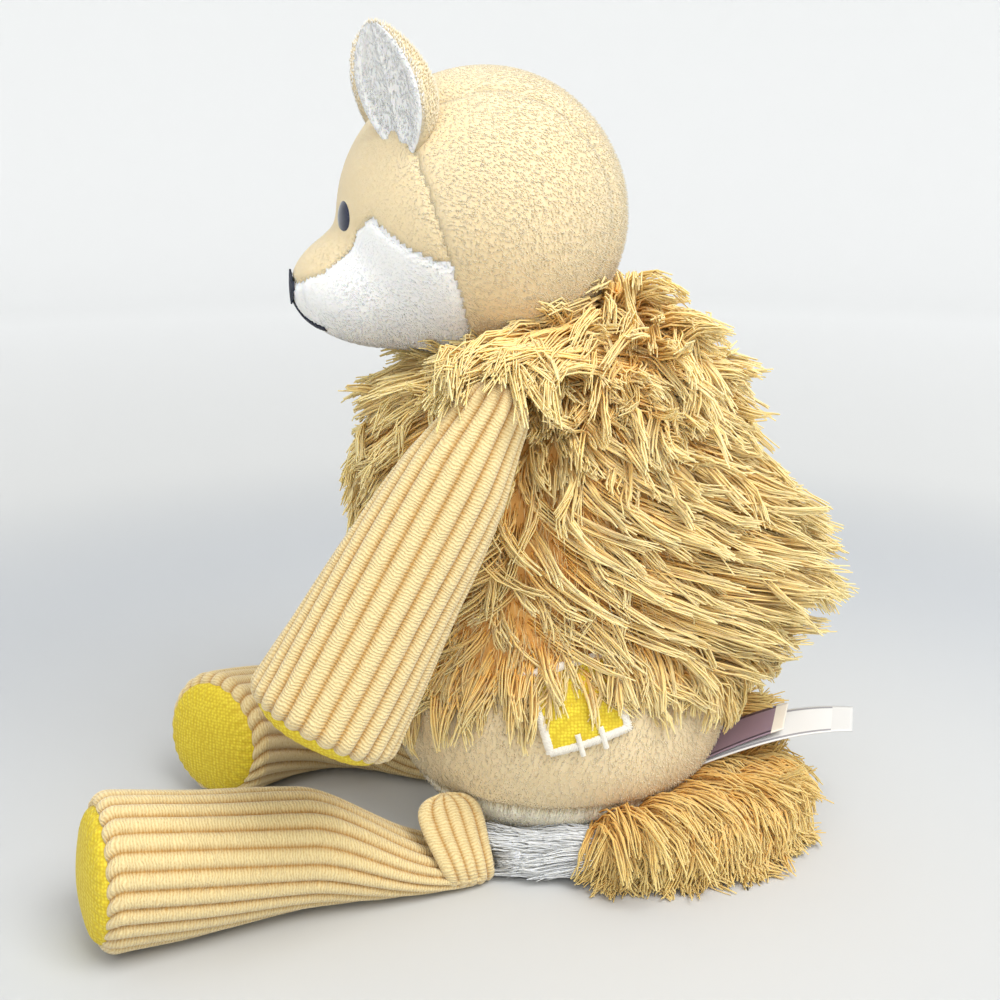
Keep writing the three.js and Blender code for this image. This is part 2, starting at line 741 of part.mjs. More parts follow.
function makeHead() {
  const outside = headForm(0);
  const hollow = headForm(-coverWall, liningColumns, liningRows);
  const neck = new THREE.CylinderGeometry(neckRadius, neckRadius, skull.radius, roundSides);
  neck.rotateX(Math.PI / 2);
  neck.translate(skull.x, skull.y, skull.z - skull.radius);
  const earRoots = earRootPill(sewnGap);
  const eyes = eyeSolid(sewnGap);
  const cuts = wasm.Manifold.union([earRoots, mirrored(earRoots), eyes, mirrored(eyes), solidFrom(neck)]);
  const shell = outside.subtract(hollow).subtract(cuts);

  const front = shell.intersect(inFrontOfFaceSeam(-sewnGap / 2));
  piece('face_cover', front.subtract(throughY(muzzleOutline(sewnGap / 2))), finishes.tanPile);
  piece('muzzle_cover', front.intersect(throughY(muzzleOutline(-sewnGap / 2))), finishes.whitePile);

  const behind = shell.subtract(inFrontOfFaceSeam(sewnGap / 2));
  const middle = crownHalfWidth - sewnGap / 2;
  const crown = block(new THREE.Vector3(-middle, -far, -far), new THREE.Vector3(middle, far, far));
  piece('head_crown_cover', behind.intersect(crown), finishes.tanPile);
  for (const [side, sign] of Object.entries(sides)) {
    const edge = crownHalfWidth + sewnGap / 2;
    const outwards = block(new THREE.Vector3(edge, -far, -far), new THREE.Vector3(far, far, far));
    piece(`head_side_${side}`, behind.intersect(sign > 0 ? outwards : mirrored(outwards)), finishes.tanPile);
  }

  const washerRoom = washerSolid(sewnGap);
  const core = headForm(-coverWall - 1.5 * sewnGap, liningColumns, liningRows);
  const stuffing = core.subtract(cuts).subtract(washerRoom).subtract(mirrored(washerRoom));
  piece('head_stuffing', stuffing, finishes.stuffing);
  piece('eye_left', eyeSolid(), finishes.eyePlastic);
  piece('eye_right', mirrored(eyeSolid()), finishes.eyePlastic);
  piece('eye_washer_left', washerSolid(), finishes.washer);
  piece('eye_washer_right', mirrored(washerSolid()), finishes.washer);
}

function makeNoseAndMouth() {
  const layer = headForm(sewnGap + stitchHeight).subtract(headForm(sewnGap));
  const frontHalf = block(new THREE.Vector3(-far, -far, 0), new THREE.Vector3(far, snout.y, far));
  const nose = throughY([
    { x: -noseHalfWidth, z: noseTop - noseBevel }, { x: -noseHalfWidth / 3, z: noseTop }, { x: noseHalfWidth / 3, z: noseTop },
    { x: noseHalfWidth, z: noseTop - noseBevel }, { x: noseHalfWidth / 2, z: noseBottom + noseBevel }, { x: 0, z: noseBottom },
    { x: -noseHalfWidth / 2, z: noseBottom + noseBevel },
  ].reverse());
  piece('nose_stitching', layer.intersect(nose).intersect(frontHalf), finishes.thread);

  const half = stitchWidth / 2;
  const top = noseBottom - sewnGap - half / 2;
  const mouth = throughY([
    { x: -half, z: top }, { x: -half, z: mouthMiddle + half }, { x: -mouthHalfWidth, z: mouthCorner + half },
    { x: -mouthHalfWidth, z: mouthCorner - half }, { x: 0, z: mouthMiddle - 1.4 * half },
    { x: mouthHalfWidth, z: mouthCorner - half }, { x: mouthHalfWidth, z: mouthCorner + half },
    { x: half, z: mouthMiddle + half }, { x: half, z: top },
  ]);
  piece('mouth_stitching', layer.intersect(mouth).intersect(frontHalf), finishes.thread);
}

function makeEars() {
  const clear = headForm(sewnGap + earFoldRoom);
  const pill = earRootPill(0);
  const cup = crescentLoft(earCrescents(0, earWall, cupShares)).subtract(clear);
  const behindLining = earWall + sewnGap;
  const lining = crescentLoft(earCrescents(behindLining, behindLining + liningWall, linedShares));
  const ear = cup.add(pill).subtract(headForm(sewnGap).subtract(earRootPill(sewnGap / 2)));
  piece('ear_back_left', ear, finishes.tanPile);
  piece('ear_back_right', mirrored(ear), finishes.tanPile);
  const lined = lining.subtract(clear).subtract(earRootPill(sewnGap));
  piece('ear_lining_left', lined, finishes.whitePile);
  piece('ear_lining_right', mirrored(lined), finishes.whitePile);
}

function makeArms() {
  const forward = { left: leftArmForward, right: rightArmForward };
  for (const [side, sign] of Object.entries(sides)) {
    const place = (solid) => (sign > 0 ? solid : mirrored(solid));
    const arm = armHanging(forward[side]);
    const inner = limbRings(arm, sleeveWall / 2);
    const boss = barAlongX(shoulderBossRadius, shoulderSeat + sewnGap, armTopX, shoulder.y, shoulder.z)
      .subtract(loft([...inner, poleOf(inner.at(-1))]));
    piece(`arm_sleeve_${side}`, place(limbSleeve(arm).add(boss)), finishes.corduroy);
    piece(`arm_stuffing_${side}`, place(limbStuffing(arm)), finishes.stuffing);
    piece(`paw_pad_${side}`, place(limbPad(arm)), finishes.satin);
  }
}

function makeLegs() {
  for (const [side, leg] of Object.entries(legs)) {
    piece(`leg_sleeve_${side}`, limbSleeve(leg), finishes.corduroy);
    piece(`leg_stuffing_${side}`, limbStuffing(leg), finishes.stuffing);
    piece(`sole_pad_${side}`, limbPad(leg), finishes.satin);
  }
}

function makeTail() {
  const rootPill = new THREE.CylinderGeometry(tailRootRadius, tailRootRadius, 2 * tailRootHalfHeight, roundSides);
  rootPill.rotateX(Math.PI / 2);
  rootPill.translate(tailRoot.x, tailRoot.y, tailRoot.z);
  const pill = solidFrom(rootPill);
  const clear = trunkForm(socketGap, 0, bellyCoverTop);
  const seam = tailTipShare;
  const split = sewnGap / tailCurve.getLength();

  const outside = tailRings(tailCoverShare, seam - split / 2, 0, 9);
  const inside = tailRings(tailFillShare, seam - split / 2, coverWall, 8).reverse();
  const cover = loft([poleOf(outside[0]), ...outside, ...inside, poleOf(inside.at(-1))]);
  piece('tail_cover', cover.subtract(clear).add(pill), finishes.shag);

  const tipOutside = [...tailRings(seam + split / 2, 1, 0, 4), ...tailDome(0)];
  const tipInside = [...tailRings(seam + split / 2, 1, coverWall, 4), ...tailDome(coverWall)];
  const tip = loft([...tipInside.reverse(), ...tipOutside]);
  piece('tail_tip_cover', tip, finishes.whitePile);

  const core = coverWall + sewnGap;
  const start = tailRing(tailFillShare + 2 * split, core);
  const filling = [
    poleOf(start), start,
    ...tailRings(tailFillShare, seam - split / 2, core, 8).slice(1),
    ...tailRings(seam + split / 2, 1, core, 4),
    ...tailDome(core),
  ];
  piece('tail_stuffing', loft(filling.reverse()), finishes.stuffing);
}

// MODEL

makeTrunk();
makePatch();
makeLabels();
makeHead();
makeNoseAndMouth();
makeEars();
makeArms();
makeLegs();
makeTail();

function meshOf({ name, solid, finish }) {
  const { vertProperties, triVerts } = solid.getMesh();
  const geometry = new THREE.BufferGeometry();
  geometry.setAttribute('position', new THREE.BufferAttribute(vertProperties, 3));
  geometry.setIndex(new THREE.BufferAttribute(triVerts, 1));
  const mesh = new THREE.Mesh(geometry, new THREE.MeshStandardMaterial({ ...finish, flatShading: true }));
  mesh.name = name;
  return mesh;
}

const fox = new THREE.Group();
pieces.forEach((one) => fox.add(meshOf(one)));

export default fox;
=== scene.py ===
"""A seated plush fox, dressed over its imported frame, in metres. It faces -Y and its left side is +X."""

import logging
from collections.abc import Callable, Iterable, Sequence
from dataclasses import dataclass, field
from enum import Enum
from functools import cached_property
from math import cos, pi, radians, sin, sqrt

import bpy
import numpy as np
from mathutils import Matrix, Vector


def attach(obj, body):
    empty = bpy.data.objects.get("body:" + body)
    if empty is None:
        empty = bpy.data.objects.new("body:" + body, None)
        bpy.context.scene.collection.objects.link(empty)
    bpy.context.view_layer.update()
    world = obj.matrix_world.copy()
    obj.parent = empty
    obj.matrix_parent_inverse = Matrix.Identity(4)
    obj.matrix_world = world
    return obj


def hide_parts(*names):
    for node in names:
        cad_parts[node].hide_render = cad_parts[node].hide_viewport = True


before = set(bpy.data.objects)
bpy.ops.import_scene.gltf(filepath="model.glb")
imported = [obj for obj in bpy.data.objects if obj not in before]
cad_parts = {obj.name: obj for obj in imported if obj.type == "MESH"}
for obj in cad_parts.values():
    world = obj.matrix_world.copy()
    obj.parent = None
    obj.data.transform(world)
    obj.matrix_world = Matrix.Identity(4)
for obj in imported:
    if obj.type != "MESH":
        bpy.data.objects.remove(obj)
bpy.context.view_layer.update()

log = logging.getLogger("plush fox")
Array = np.ndarray
Piece = bpy.types.Object
Place = tuple[float, ...]
MM = 0.001
SEWN_GAP = 0.3 * MM


def mm(*sizes: float) -> Place:
    """Sizes in millimetres, turned into metres."""
    return tuple(size * MM for size in sizes)


def route(*spots: Place) -> tuple[Place, ...]:
    """Spots in millimetres, turned into metres."""
    return tuple(mm(*spot) for spot in spots)


class Side(Enum):
    """The fox's own left and right, with the sign of x."""

    LEFT = 1
    RIGHT = -1

    @property
    def word(self) -> str:
        """The side's name as the CAD nodes have it."""
        return self.name.lower()

    def place(self, points: Array | Place) -> Array:
        """Points given for the left side, on this side."""
        return np.array(points) * (self.value, 1, 1)


class Body(Enum):
    """The frame's bodies."""

    TRUNK = "trunk"
    HEAD = "head"
    EAR_LEFT = "ear_left"
    EAR_RIGHT = "ear_right"
    ARM_LEFT = "arm_left"
    ARM_RIGHT = "arm_right"
    LEG_LEFT = "leg_left"
    LEG_RIGHT = "leg_right"
    TAIL = "tail"


# Arithmetic on arrays


def unit(vectors: Array) -> Array:
    """The vectors at length 1."""
    return vectors / np.maximum(np.linalg.norm(vectors, axis=-1, keepdims=True), 1e-12)


def stacked(*parts: Array | float) -> Array:
    """Numbers spread to one shape and joined into vectors."""
    return np.stack(np.broadcast_arrays(*parts), axis=-1)


def smooth(share: Array) -> Array:
    """A soft step from 0 to 1."""
    t = np.clip(share, 0, 1)
    return t * t * (3 - 2 * t)


def blend(a: Array, b: Array, share: Array) -> Array:
    """From a at share 0 to b at share 1."""
    return a + (b - a) * share


def turns(count: int) -> Array:
    """Angles spread evenly round a circle."""
    return np.linspace(0, 2 * pi, count, endpoint=False)


def outwards(angle: Array, rise: Array | float = 0) -> Array:
    """Level directions by angle from straight ahead, with a rise."""
    return stacked(np.sin(angle), -np.cos(angle), rise)


def ripple(points: Array, size: float, seed: int) -> Array:
    """A smooth random field between about -1 and 1.

    Args:
        points: places, one a row.
        size: the distance over which the field changes.
        seed: picks the field.

    Returns:
        One value for each place.
    """
    rng = np.random.default_rng(seed)
    waves = rng.normal(size=(9, 3)) / size
    phases = rng.uniform(0, 2 * pi, 9)
    return np.sin(points @ waves.T + phases).sum(axis=-1) / 4.5


# Meshes


def linked(name: str, data: bpy.types.ID | None) -> Piece:
    """A new object at the origin, in the scene."""
    made = bpy.data.objects.new(name, data)
    bpy.context.scene.collection.objects.link(made)
    return made


def grid_faces(rows: int, columns: int, closed: bool) -> Array:
    """The quads of a grid of points, row after row.

    Args:
        rows: how many rows of points.
        columns: how many points in a row.
        closed: whether each row closes on itself.

    Returns:
        Four point numbers for each quad.
    """
    first = np.arange(rows - 1)[:, None] * columns
    here = np.arange(columns if closed else columns - 1)
    after = (here + 1) % columns
    return stacked(first + here, first + after, first + columns + after, first + columns + here).reshape(-1, 4)


def inside_out(points: Array, faces: Sequence[Sequence[int]]) -> bool:
    """Whether a closed mesh's faces point inwards."""
    volume = 0.0
    for corners in faces:
        a = points[corners[0]]
        for second, third in zip(corners[1:-1], corners[2:]):
            volume += float(a @ np.cross(points[second], points[third]))
    return volume < 0


def mesh_object(name: str, points: Array, faces: Iterable[Sequence[int]], edges: Iterable[Sequence[int]] = (),
                values: dict[str, Array] | None = None, uv: Array | None = None) -> Piece:
    """Makes a mesh object at the origin.

    Args:
        name: the object's name.
        points: its vertices.
        faces: its faces, as vertex numbers.
        edges: loose edges, for a line.
        values: attributes of the vertices, a number or a vector each.
        uv: a flat place for each vertex.

    Returns:
        The object, linked to the scene and smooth.
    """
    mesh = bpy.data.meshes.new(name)
    mesh.from_pydata(points.tolist(), [list(edge) for edge in edges], [list(face) for face in faces])
    mesh.polygons.foreach_set("use_smooth", np.ones(len(mesh.polygons), bool))
    for key, data in (values or {}).items():
        is_vector = data.ndim == 2
        attribute = mesh.attributes.new(key, "FLOAT_VECTOR" if is_vector else "FLOAT", "POINT")
        attribute.data.foreach_set("vector" if is_vector else "value", data.astype(np.float32).ravel())
    if uv is not None:
        layer = mesh.uv_layers.new(name="Cloth")
        corners = np.zeros(len(mesh.loops), np.int32)
        mesh.loops.foreach_get("vertex_index", corners)
        layer.data.foreach_set("uv", uv[corners].astype(np.float32).ravel())
    return linked(name, mesh)


def loft(name: str, rings: Array, values: dict[str, Array] | None = None,
         uv: Array | None = None) -> Piece:
    """Makes a closed form from rings of points, with a point in the middle of each end.

    Args:
        name: the object's name.
        rings: points by ring, by place in the ring, by axis.
        values: attributes by ring and place.
        uv: flat places by ring and place.

    Returns:
        The object, its faces outwards.
    """
    rows, columns = rings.shape[:2]

    def with_ends(grid: Array) -> Array:
        """The grid row after row, and the middle of each end."""
        flat = grid.reshape(rows * columns, *grid.shape[2:])
        return np.concatenate([flat, grid[:1].mean(axis=1), grid[-1:].mean(axis=1)])

    points = with_ends(rings)
    count = rows * columns
    faces = grid_faces(rows, columns, True).tolist()
    for k in range(columns):
        after = (k + 1) % columns
        faces.append([count, after, k])
        faces.append([count + 1, count - columns + k, count - columns + after])
    if inside_out(points, faces):
        faces = [face[::-1] for face in faces]
    spread = {key: with_ends(data) for key, data in (values or {}).items()}
    return mesh_object(name, points, faces, values=spread, uv=None if uv is None else with_ends(uv))


def solidify(made: Piece, thickness: float) -> None:
    """Gives an open sheet a wall on its inner side."""
    wall = made.modifiers.new("wall", "SOLIDIFY")
    wall.thickness = thickness
    wall.offset = -1


# Node trees


def maths_node(operation: str, swapped: bool = False) -> Callable[..., "Socket"]:
    """A method for Socket that adds one Math node.

    Args:
        operation: what the node does.
        swapped: whether the socket itself is the second operand.

    Returns:
        The method, which takes the other operand, if there is one.
    """
    def apply(self: "Socket", *others: "Socket | float") -> "Socket":
        """Adds the node on this socket and the other operand."""
        operands = (*others, self) if swapped else (self, *others)
        return self.wiring.add("ShaderNodeMath", {"operation": operation}, dict(enumerate(operands)))

    return apply


class Socket:
    """A node's output. Arithmetic on it adds Math nodes."""

    def __init__(self, wiring: "Wiring", socket: bpy.types.NodeSocket) -> None:
        """Wraps one output."""
        self.wiring = wiring
        self.socket = socket

    def of(self, output: str | int) -> "Socket":
        """Another output of the same node."""
        return Socket(self.wiring, self.socket.node.outputs[output])

    __add__ = __radd__ = maths_node("ADD")
    __sub__ = maths_node("SUBTRACT")
    __rsub__ = maths_node("SUBTRACT", swapped=True)
    __mul__ = __rmul__ = maths_node("MULTIPLY")
    __truediv__ = maths_node("DIVIDE")
    __pow__ = maths_node("POWER")
    __abs__ = maths_node("ABSOLUTE")
    fraction = maths_node("FRACT")
    sine = maths_node("SINE")
    at_least = maths_node("MAXIMUM")
    at_most = maths_node("MINIMUM")
    above = maths_node("GREATER_THAN")
    below = maths_node("LESS_THAN")


Value = Socket | float | int | bool | str | tuple | bpy.types.ID


class Wiring:
    """Adds nodes to a shader or geometry tree."""

    def __init__(self, tree: bpy.types.NodeTree) -> None:
        """Works on one tree."""
        self.tree = tree

    def add(self, kind: str, settings: dict | None = None, inputs: dict | None = None,
            output: str | int = 0) -> Socket:
        """Adds a node.

        Args:
            kind: the node's type.
            settings: its properties, which are set first.
            inputs: values or links by socket name or number.
            output: the output to return.

        Returns:
            The node's output.
        """
        node = self.tree.nodes.new(kind)
        for key, setting in (settings or {}).items():
            setattr(node, key, setting)
        for key, given in (inputs or {}).items():
            target = node.inputs[key]
            if isinstance(given, Socket):
                self.tree.links.new(given.socket, target)
            else:
                target.default_value = given
        return Socket(self, node.outputs[output]) if len(node.outputs) else Socket(self, node.inputs[0])

    def mix(self, share: Value, a: Value, b: Value) -> Socket:
        """A colour between a at share 0 and b at share 1."""
        return self.add("ShaderNodeMix", {"data_type": "RGBA"}, {0: share, 6: a, 7: b}, 2)

    def vector(self, operation: str, a: Value, b: Value = (0, 0, 0), scale: Value = 1.0) -> Socket:
        """One Vector Math node."""
        return self.add("ShaderNodeVectorMath", {"operation": operation}, {0: a, 1: b, 3: scale})

    def scaled(self, vector: Value, share: Value) -> Socket:
        """A vector times a number."""
        return self.vector("SCALE", vector, scale=share)

    def drifting(self, size: float, place: Socket) -> Socket:
        """A vector that wanders smoothly from place to place."""
        return self.vector("SUBTRACT", self.noise(size, place, 1.0).of("Color"), (0.5, 0.5, 0.5))

    def attribute(self, name: str) -> Socket:
        """A number that a mesh carries at its vertices, in a shader."""
        return self.add("ShaderNodeAttribute", {"attribute_name": name}, output="Fac")

    def noise(self, size: float, place: Socket | None = None, detail: float = 2.0) -> Socket:
        """A noise whose features are about that size."""
        inputs = {"Scale": 1 / size, "Detail": detail}
        if place is not None:
            inputs["Vector"] = place
        return self.add("ShaderNodeTexNoise", None, inputs, "Fac")

    def place(self) -> Socket:
        """Object coordinates."""
        return self.add("ShaderNodeTexCoord", output="Object")

    def parts(self, vector: Socket) -> Socket:
        """A vector's parts, as the outputs X, Y and Z."""
        return self.add("ShaderNodeSeparateXYZ", None, {0: vector})

    def cloth(self) -> Socket:
        """The parts of the cloth's map."""
        return self.parts(self.add("ShaderNodeUVMap", {"uv_map": "Cloth"}))

    def bump(self, height: Socket, strength: float, distance: float) -> Socket:
        """A normal bent by a height."""
        return self.add("ShaderNodeBump", None, {"Height": height, "Strength": strength, "Distance": distance})


# Finishes


def colour(red: int, green: int, blue: int) -> Place:
    """A colour as a screen shows it, turned linear for the shader."""
    def linear(level: int) -> float:
        """One channel from 0 to 1."""
        share = level / 255
        return share / 12.92 if share <= 0.04045 else ((share + 0.055) / 1.055) ** 2.4

    return (linear(red), linear(green), linear(blue), 1.0)


@dataclass(frozen=True)
class Finish:
    """What all finishes share. Subclasses say how the surface changes, and what their colours are for."""

    name: str
    slot: str
    colours: tuple[Place, ...]
    roughness: float = 0.9
    sheen: float = 0.0
    coat: float = 0.0
    glow: float = 0.0

    @cached_property
    def paints(self) -> list[Place]:
        """The colours, turned linear."""
        return [colour(*levels) for levels in self.colours]

    @cached_property
    def material(self) -> bpy.types.Material:
        """The material, made once."""
        material = bpy.data.materials.new(self.name)
        material.use_nodes = True
        wiring = Wiring(material.node_tree)
        shader = material.node_tree.nodes["Principled BSDF"]
        shader.inputs["Roughness"].default_value = self.roughness
        shader.inputs["Sheen Weight"].default_value = self.sheen
        shader.inputs["Sheen Roughness"].default_value = 0.5
        shader.inputs["Coat Weight"].default_value = self.coat
        shader.inputs["Subsurface Weight"].default_value = self.glow
        shader.inputs["Subsurface Scale"].default_value = 1.5 * MM
        shader.inputs["Subsurface Radius"].default_value = (1.0, 0.8, 0.5)
        shader.inputs["Specular IOR Level"].default_value = 0.1 if self.roughness > 0.7 else 0.5
        for key, given in self.dress(wiring).items():
            material.node_tree.links.new(given.socket, shader.inputs[key])
        return material

    def dress(self, wiring: Wiring) -> dict[str, Socket]:
        """What changes over the surface, by the shader's socket."""
        raise NotImplementedError


@dataclass(frozen=True)
class StrandFinish(Finish):
    """Loose fibres: the colours of their roots, painted darker as shade deep in the pile, their tips and the warmer
    ones.
    """

    warmth: float = 0.5
    rise: float = 0.7

    def dress(self, wiring: Wiring) -> dict[str, Socket]:
        """Colour from the root, darkened as painted shade, to the tip, with warmer strands: random, and painted shade
        on deep locks.
        """
        along = wiring.attribute("along") ** self.rise
        patches = wiring.noise(14 * MM, wiring.place()) * 1.6 - 0.4
        tint = (wiring.attribute("tint") * patches).at_most(1.0).at_least(0.0) * self.warmth
        # The root and warm colours are darker than the tip: painted shade deep in the pile and on deeper locks.
        root, tip, warm_and_depth_shade = self.paints
        return {"Base Color": wiring.mix(tint, wiring.mix(along, root, tip), warm_and_depth_shade)}


@dataclass(frozen=True)
class GroundFinish(Finish):
    """The knitted ground that a pile stands on: its colour and its mottling."""

    nap: float = 1.2 * MM

    def dress(self, wiring: Wiring) -> dict[str, Socket]:
        """Soft mottling and a fine nap."""
        place = wiring.place()
        mottle = wiring.noise(11 * MM, place, 3)
        nap = wiring.noise(self.nap, place, 4)
        share = (mottle * 0.6 + nap * 0.5 - 0.2).at_least(0.0)
        return {"Base Color": wiring.mix(share, *self.paints), "Normal": wiring.bump(nap, 0.35, 0.3 * MM)}


@dataclass(frozen=True)
class CorduroyFinish(Finish):
    """Chenille wales with slanting tufts: their ridges, and a darker colour painted in the grooves as shade. The
    cloth's map holds wales and metres.
    """

    tuft: float = 0.95 * MM

    def dress(self, wiring: Wiring) -> dict[str, Socket]:
        """Painted shade in the grooves between wales and in the dips between the herringbone tufts on each, which are
        also bumped.
        """
        cloth = wiring.cloth()
        offset = abs(cloth.of("X").fraction() * 2 - 1)
        hollow = offset ** 3.5
        wander = wiring.noise(3.5 * MM, wiring.place(), 2)
        slant = cloth.of("Y") / (self.tuft * 100) + offset * 0.35 + wander * 2.2
        tufts = (slant * (2 * pi)).sine() * 0.5 + 0.5
        fuzz = wiring.noise(0.7 * MM, wiring.place(), 3)
        height = tufts * 0.5 + fuzz * 0.9
        pits = ((1 - tufts) * (fuzz * 1.5 - 0.3)).at_least(0.0)
        # Grooves and the dips between tufts take the darker colour: painted shade.
        painted_dip_shade = (hollow * 0.9 + pits * 0.8).at_most(1.0)
        return {
            "Base Color": wiring.mix(painted_dip_shade, *self.paints),
            "Normal": wiring.bump(height, 0.8, 0.5 * MM),
        }


@dataclass(frozen=True)
class SatinFinish(Finish):
    """Shiny cloth with a fine grid of raised dots: the dots and the dips."""

    dot: float = 1.1 * MM

    def dress(self, wiring: Wiring) -> dict[str, Socket]:
        """Raised round dots, and soft creases."""
        cells = wiring.add("ShaderNodeTexVoronoi", None,
                           {"Vector": wiring.place(), "Scale": 1 / self.dot, "Randomness": 0.35}, "Distance")
        dots = (1 - cells * 1.5).at_least(0.0)
        crease = wiring.noise(6 * MM, wiring.place(), 2)
        shade = ((1 - dots) * 0.75 + crease * 0.12).at_most(1.0)
        return {
            "Base Color": wiring.mix(shade, *self.paints),
            "Roughness": (1 - dots) * 0.35 + self.roughness,
            "Normal": wiring.bump(dots + crease * 0.6, 0.5, 0.35 * MM),
        }


@dataclass(frozen=True)
class ThreadFinish(Finish):
    """Twisted thread: its colour and its shade."""

    def dress(self, wiring: Wiring) -> dict[str, Socket]:
        """Fine fibres along the thread."""
        fibres = wiring.noise(0.5 * MM, wiring.place(), 3)
        tint = (wiring.attribute("tint") * 0.4 + fibres * 0.5).at_most(1.0)
        return {"Base Color": wiring.mix(tint, *self.paints), "Normal": wiring.bump(fibres, 0.5, 0.2 * MM)}


@dataclass(frozen=True)
class RibbonFinish(Finish):
    """Woven label ribbon, bare of print: its colour, the lines along its edges and its end."""

    weave: float = 0.45 * MM

    def dress(self, wiring: Wiring) -> dict[str, Socket]:
        """Threads both ways. The cloth's map holds shares across and along."""
        cloth = wiring.cloth()
        edge = abs(cloth.of("X") * 2 - 1)
        line = edge.above(0.8) * edge.below(0.93)
        tail = cloth.of("Y").above(0.86)
        place = wiring.parts(wiring.place())
        warp, weft = ((place.of(axis) * (2 * pi / self.weave)).sine() for axis in "XY")
        fabric = warp * weft * 0.5 + 0.5
        base, dark, end = self.paints
        plain = wiring.mix(line * 0.8, base, dark)
        return {
            "Base Color": wiring.mix(fabric * 0.12, wiring.mix(tail, plain, end), dark),
            "Normal": wiring.bump(fabric, 0.3, 0.1 * MM),
        }


@dataclass(frozen=True)
class PlasticFinish(Finish):
    """Moulded plastic: its colour and its faint haze."""

    def dress(self, wiring: Wiring) -> dict[str, Socket]:
        """Polished, with the slightest unevenness."""
        cloud = wiring.noise(2 * MM, wiring.place(), 2)
        return {"Base Color": wiring.mix(cloud * 0.35, *self.paints), "Roughness": cloud * 0.05 + self.roughness}


# Strand roots are painted darker than their tips, as shade deep in the pile.
CREAM_PILE = StrandFinish("cream_pile", "tan_pile", ((231, 211, 169), (237, 225, 192), (229, 205, 159)), sheen=0.15,
                          glow=0.3, warmth=0.3)
CREAM_GROUND = GroundFinish("cream_ground", "tan_pile", ((232, 214, 176), (223, 200, 157)), sheen=0.15, glow=0.4)
BASE_PILE = StrandFinish("base_pile", "tan_pile", ((252, 238, 208), (255, 252, 238), (250, 232, 198)), sheen=0.15,
                         glow=0.3, warmth=0.3)
BASE_GROUND = GroundFinish("base_ground", "tan_pile", ((255, 248, 226), (250, 236, 206)), sheen=0.15, glow=0.4)
WHITE_PILE = StrandFinish("white_pile", "white_pile", ((243, 243, 240), (247, 248, 246), (244, 242, 237)), sheen=0.4,
                          glow=0.3)
WHITE_GROUND = GroundFinish("white_ground", "white_pile", ((245, 245, 243), (240, 238, 233)), sheen=0.4, glow=0.4)
SHAG = StrandFinish("shag", "shag_pile", ((252, 178, 82), (255, 232, 166), (254, 188, 92)), roughness=0.8, glow=0.45,
                    warmth=0.55, rise=0.62)
# A darker copy of the shag, for the tail that sits in shade: painted shade.
SHADED_TAIL_SHAG = StrandFinish("tail_shag", "shag_pile", ((236, 160, 72), (240, 212, 140), (236, 168, 80)), roughness=0.8,
                         glow=0.35, warmth=0.55, rise=0.8)
SHAG_GROUND = GroundFinish("shag_ground", "shag_pile", ((246, 196, 116), (226, 164, 86)))
# The corduroy's second colour is painted shade for its grooves.
CORDUROY = CorduroyFinish("corduroy", "corduroy", ((232, 212, 158), (182, 138, 74)), sheen=0.4)
SATIN = SatinFinish("yellow_satin", "yellow_satin", ((244, 228, 52), (196, 160, 16)), roughness=0.34)
WHITE_THREAD = ThreadFinish("white_thread", "white_thread", ((238, 233, 220), (218, 212, 200)), roughness=0.55)
DARK_THREAD = ThreadFinish("dark_thread", "dark_thread", ((34, 42, 66), (14, 18, 32)), roughness=0.5)
CARE_RIBBON = RibbonFinish("white_ribbon", "white_label", ((232, 231, 228), (128, 126, 132), (222, 221, 218)),
                           roughness=0.5)
SIDE_RIBBON = RibbonFinish("plum_ribbon", "plum_label", ((150, 126, 140), (40, 32, 44), (244, 236, 222)),
                           roughness=0.45)
STUFFING = GroundFinish("fibre_fill", "stuffing", ((244, 243, 240), (216, 214, 208)), nap=3 * MM)
EYE = PlasticFinish("eye_plastic", "eye_plastic", ((16, 22, 44), (40, 52, 92)), roughness=0.08, coat=0.35)
EYE_RIM = PlasticFinish("eye_rim", "eye_plastic", ((206, 204, 206), (150, 150, 164)), roughness=0.3)


@dataclass(frozen=True)
class Fur:
    """A pile: the finishes of its ground and blades, and its sizes."""

    ground: Finish
    blades: Finish
    density: float
    length: float = 1.2 * MM
    width: float = 0.44 * MM
    lean: float = 2.6
    tousle: float = 0.3
    cut: float = 1.0


@dataclass(frozen=True)
class Yarn:
    """Locks of yarn: their finish, and how many strands of what size make a lock."""

    finish: Finish
    strands: int
    lock_radius: float
    strand_radius: float
    wave: float = 6 * MM
    points: int = 6


@dataclass(frozen=True)
class Stitch:
    """Satin stitches: their thread, how close and high they are, and how uneven."""

    finish: Finish
    pitch: float
    thread_radius: float
    rise: float
    ragged: float


@dataclass(frozen=True)
class Wale:
    """The ridges of corduroy."""

    height: float


BELLY_FUR = Fur(CREAM_GROUND, CREAM_PILE, 0.9e6)
BASE_FUR = Fur(BASE_GROUND, BASE_PILE, 0.6e6)
HEAD_FUR = Fur(CREAM_GROUND, CREAM_PILE, 1.4e6)
MUZZLE_FUR = Fur(WHITE_GROUND, WHITE_PILE, 1.4e6, tousle=0.1, cut=0.8)
EAR_FUR = Fur(CREAM_GROUND, CREAM_PILE, 1.5e6, 1.5 * MM, 0.48 * MM, 2.4, 0.22)
LINING_FUR = Fur(WHITE_GROUND, WHITE_PILE, 1.5e6, 1.2 * MM, 0.48 * MM, 2.4, 0.22)
SHAG_FUR = Fur(SHAG_GROUND, SHAG, 0.17e6, 11 * MM, 0.55 * MM, 1.2, 0.7)
TIP_FUR = Fur(WHITE_GROUND, WHITE_PILE, 1.2e6, 6 * MM, 0.6 * MM, 2.6, 0.5)
TRUNK_YARN = Yarn(SHAG, 13, 2.3 * MM, 0.39 * MM)
TAIL_YARN = Yarn(SHADED_TAIL_SHAG, 11, 3.0 * MM, 0.38 * MM)
